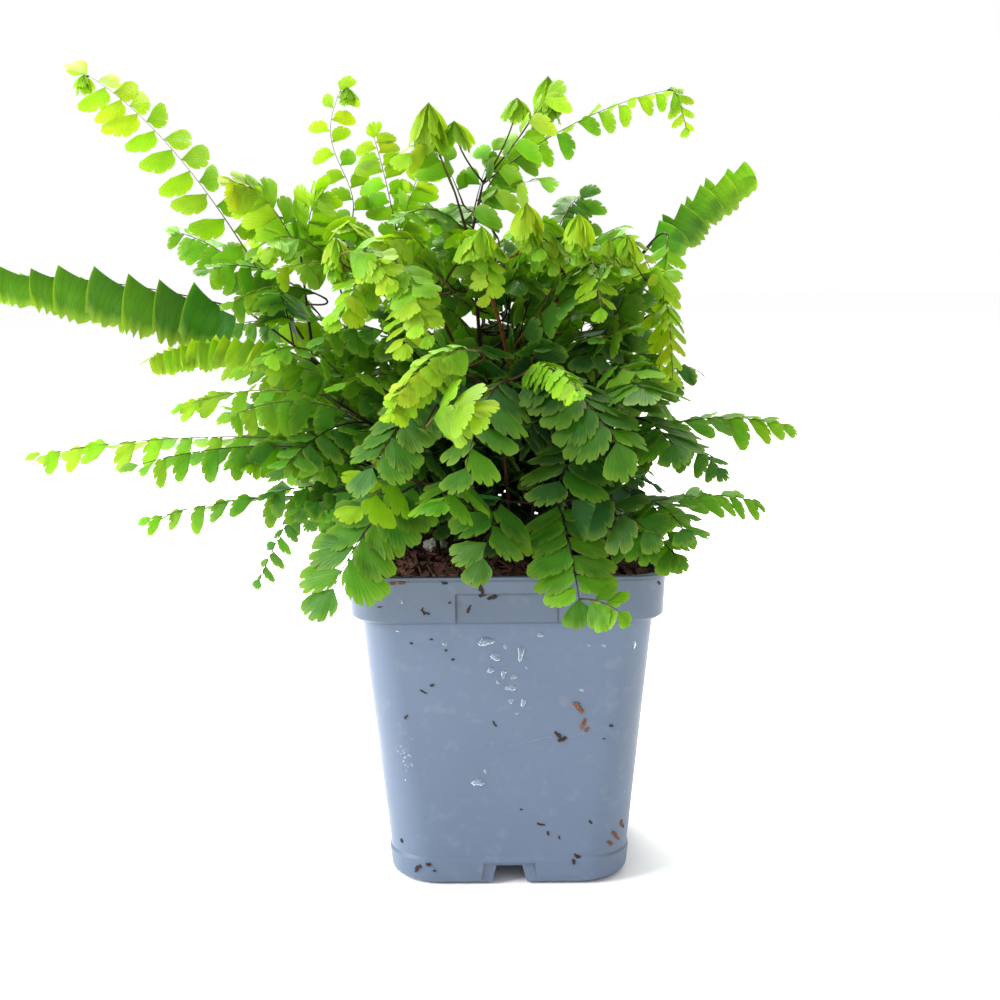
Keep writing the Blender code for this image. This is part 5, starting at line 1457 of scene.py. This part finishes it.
def make_drops():
    rng = random.Random(33)
    drops = [drop_points(rng, wall_spot(x, z), wide, tall) for x, z, wide, tall in DROPS]
    x, z, across, high = SPRAY
    for _ in range(SPRAY_COUNT):
        size = rng.uniform(0.25, 0.6)
        wall = wall_spot(x + rng.gauss(0, across / 2), z + rng.gauss(0, high / 2))
        drops.append(drop_points(rng, wall, size, size))
    for quarter in (1, 2, 3):
        for _ in range(DROP_SPRINKLE):
            wide = rng.uniform(0.6, 2.6)
            wall = random_spot(rng, quarter, [(12, 79), (50, 79), (83, 93)])
            drops.append(drop_points(rng, wall, wide, wide * rng.uniform(0.7, 1.5)))
    gather("pot_drops", drops, drop_faces(), water_material(), True)


def crumb_points(rng, wall, length, wide, turn):
    """A crumb that lies flat on the wall."""
    place, across, up, out = wall
    basis = Matrix((across, up, out)).transposed() @ Matrix.Rotation(math.radians(turn), 3, "Z")
    blocks = []
    for shift in CRUMB_SHIFTS:
        centre = (shift * length, rng.uniform(-0.2, 0.2) * wide, 0.0)
        size = (0.5 * length * rng.uniform(0.8, 1.2), 0.8 * wide * rng.uniform(0.6, 1.2), 0.4 * wide)
        block = chip_points(rng, centre, size, rng.uniform(-0.9, 0.9), 0.25)
        blocks.append([place + out * 0.15 * wide + basis @ Vector(p) for p in block])
    return blocks


def make_crumbs():
    rng = random.Random(35)
    crumbs = [block for x, z, *size in CRUMBS for block in crumb_points(rng, wall_spot(x, z), *size)]
    for quarter in (1, 2, 3):
        for _ in range(CRUMB_SPRINKLE):
            length = rng.uniform(0.6, 2.6)
            wall = random_spot(rng, quarter, [(4, 24), (45, 79), (83, 93)])
            crumbs += crumb_points(rng, wall, length, length * rng.uniform(0.35, 0.7), rng.uniform(0, 180))
    for quarter in range(4):
        spin = Matrix.Rotation(math.radians(90.0 * quarter), 3, "Z")
        for _ in range(LIP_CRUMBS):
            place = spin @ Vector((rng.uniform(-38, 38), -LIP_HALF + rng.uniform(0.8, 1.4), POT_HEIGHT))
            length = rng.uniform(0.5, 1.8)
            wall = (place, spin @ Vector((1, 0, 0)), spin @ Vector((0, 1, 0)), UP)
            crumbs += crumb_points(rng, wall, length, length * rng.uniform(0.3, 0.6), rng.uniform(-25, 25))
    gather("pot_crumbs", crumbs, CHIP_FACES, surface_material("crumb_dark"))
    bits = [block for x, z, *size in BARK_BITS for block in crumb_points(rng, wall_spot(x, z), *size)]
    gather("bark_bits", bits, CHIP_FACES, surface_material("crumb_brown"))


def make_scratch():
    """A hair-fine raised crease across the front."""
    growth = Growth()
    path = []
    for (x, z), (next_x, next_z) in zip(SCRATCH, SCRATCH[1:]):
        for step in range(SCRATCH_STEPS):
            share = step / SCRATCH_STEPS
            place, _, _, out = wall_spot(x + (next_x - x) * share, z + (next_z - z) * share)
            path.append(place - out * SUNK)
    grow_tube(growth, path, [SCRATCH_RADIUS] * len(path), [(1, 1, 1)] * len(path))
    scratch = growth.build("pot_scratch", [surface_material("pot_scratch")] * 2)
    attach(scratch, "root")


# Soil and stone
def chip_points(rng, centre, size, turn=math.tau, tilt=0.65):
    """One bark chip or fibre: a ragged little block, turned any way."""
    spin = Matrix.Rotation(rng.uniform(0, turn), 3, "Z")
    pitch, roll = rng.uniform(-tilt, tilt), rng.uniform(-tilt, tilt)
    tip = Matrix.Rotation(pitch, 3, "Y") @ Matrix.Rotation(roll, 3, "X")
    points = []
    for sx in (-1, 1):
        for sy, sz in ((-1, -1), (1, -1), (1, 1), (-1, 1)):
            local = Vector([sign * length * rng.uniform(0.7, 1.15) / 2.0
                            for sign, length in zip((sx, sy, sz), size)])
            points.append(tuple(Vector(centre) + spin @ (tip @ local)))
    return points


CHIP_FACES = [[3, 2, 1, 0], [4, 5, 6, 7], [0, 1, 5, 4], [1, 2, 6, 5], [2, 3, 7, 6], [3, 0, 4, 7]]


def make_litter():
    """Loose bark chips and coir fibres that cover the soil."""
    rng = random.Random(21)
    points, faces, tints = [], [], []
    reach = BAND_FOOT_HALF - POT_WALL - LITTER_INSET
    edge = BAND_FOOT_HALF - POT_WALL - LITTER_CLEARANCE
    for number in range(CHIP_COUNT + FIBRE_COUNT):
        size = [rng.uniform(*limits) for limits in (CHIP_SIZE if number < CHIP_COUNT else FIBRE_SIZE)]
        x, y = rng.uniform(-reach, reach), rng.uniform(-reach, reach)
        chip = chip_points(rng, (x, y, SOIL_LEVEL + rng.uniform(*LITTER_DEPTH)), size)
        if max(max(abs(p[0]), abs(p[1])) for p in chip) > edge or max(p[2] for p in chip) > POT_HEIGHT - 1.0:
            continue
        base = len(points)
        points += chip
        faces += [[i + base for i in face] for face in CHIP_FACES]
        warm = rng.random()
        tint = (1.0, 0.55, 0.34) if warm > 0.9 else (0.55, 0.34, 0.26) if warm > 0.45 else (0.30, 0.20, 0.17)
        tints += [[c * rng.uniform(0.7, 1.2) for c in tint] + [1.0]] * len(chip)
    litter = mesh_piece("bark_litter", points, faces, smooth=False)
    paint(litter.data, "tint", tints)
    litter.data.materials.append(surface_material("bark_chip"))
    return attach(litter, "root")


def make_stone():
    low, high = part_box("stone")
    centre = [(a + b) / 2.0 / MM for a, b in zip(low, high)]
    half = [(b - a) / 2.0 / MM for a, b in zip(low, high)]
    ball = bmesh.new()
    bmesh.ops.create_icosphere(ball, subdivisions=5, radius=1.0)
    points = []
    for vertex in ball.verts:
        lumps, grit = noise.fractal(vertex.co * 2.2, 1.0, 2.0, 5), noise.noise(vertex.co * 9.0)
        rough = 0.86 + 0.22 * lumps + 0.05 * grit
        points.append([centre[i] + vertex.co[i] * half[i] * rough for i in range(3)])
    faces = [[v.index for v in face.verts] for face in ball.faces]
    ball.free()
    stone = mesh_piece("stone_lump", points, faces)
    stone.data.materials.append(surface_material("stone_chalky"))
    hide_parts("stone")
    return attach(stone, "root")


# Camera, light and floor
def make_camera():
    camera = bpy.data.objects.new("camera", bpy.data.cameras.new("camera"))
    camera.data.lens = CAMERA_LENS
    camera.data.clip_start = 0.01
    camera.matrix_world = (Matrix.Translation(CAMERA_PLACE)
                           @ Matrix.Rotation(math.radians(CAMERA_YAW), 4, "Z")
                           @ Matrix.Rotation(math.radians(90.0 - CAMERA_PITCH), 4, "X")
                           @ Matrix.Rotation(math.radians(CAMERA_ROLL), 4, "Z"))
    bpy.context.scene.collection.objects.link(camera)
    bpy.context.scene.camera = camera


def make_light(name, place, size, power, colour):
    lamp = bpy.data.lights.new(name, "AREA")
    lamp.shape = "SQUARE"
    lamp.size = size
    lamp.energy = power
    lamp.color = colour
    light = bpy.data.objects.new(name, lamp)
    light.location = place
    light.rotation_euler = (Vector(LIGHT_AIM) - Vector(place)).to_track_quat("-Z", "Y").to_euler()
    bpy.context.scene.collection.objects.link(light)


def make_studio():
    corners = [(x * FLOOR_REACH, y * FLOOR_REACH, 0) for x, y in ((-1, -1), (1, -1), (1, 1), (-1, 1))]
    floor = mesh_piece("floor", corners, [[0, 1, 2, 3]], smooth=False)
    shader = Shader("floor_pale")
    shader.put("Base Color", (0.97, 0.97, 0.97, 1.0))
    shader.put("Roughness", 0.9)
    floor.data.materials.append(shader.material)
    make_light("key", (-0.90, -0.35, 0.60), 0.5, 19.0, (0.99, 0.99, 1.0))
    make_light("back", (-0.15, 0.62, 0.95), 0.6, 24.0, (1.0, 1.0, 0.93))
    world = bpy.data.worlds.new("studio")
    world.use_nodes = True
    world.node_tree.nodes["Background"].inputs["Color"].default_value = (1.0, 1.0, 1.0, 1.0)
    world.node_tree.nodes["Background"].inputs["Strength"].default_value = 1.0
    bpy.context.scene.world = world
    bpy.context.scene.view_settings.view_transform = "Standard"


def main():
    make_pot()
    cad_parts["soil"].data.materials.clear()
    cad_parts["soil"].data.materials.append(surface_material("soil_bed"))
    make_drops()
    make_crumbs()
    make_scratch()
    make_litter()
    make_stone()
    make_fronds()
    make_camera()
    make_studio()


main()
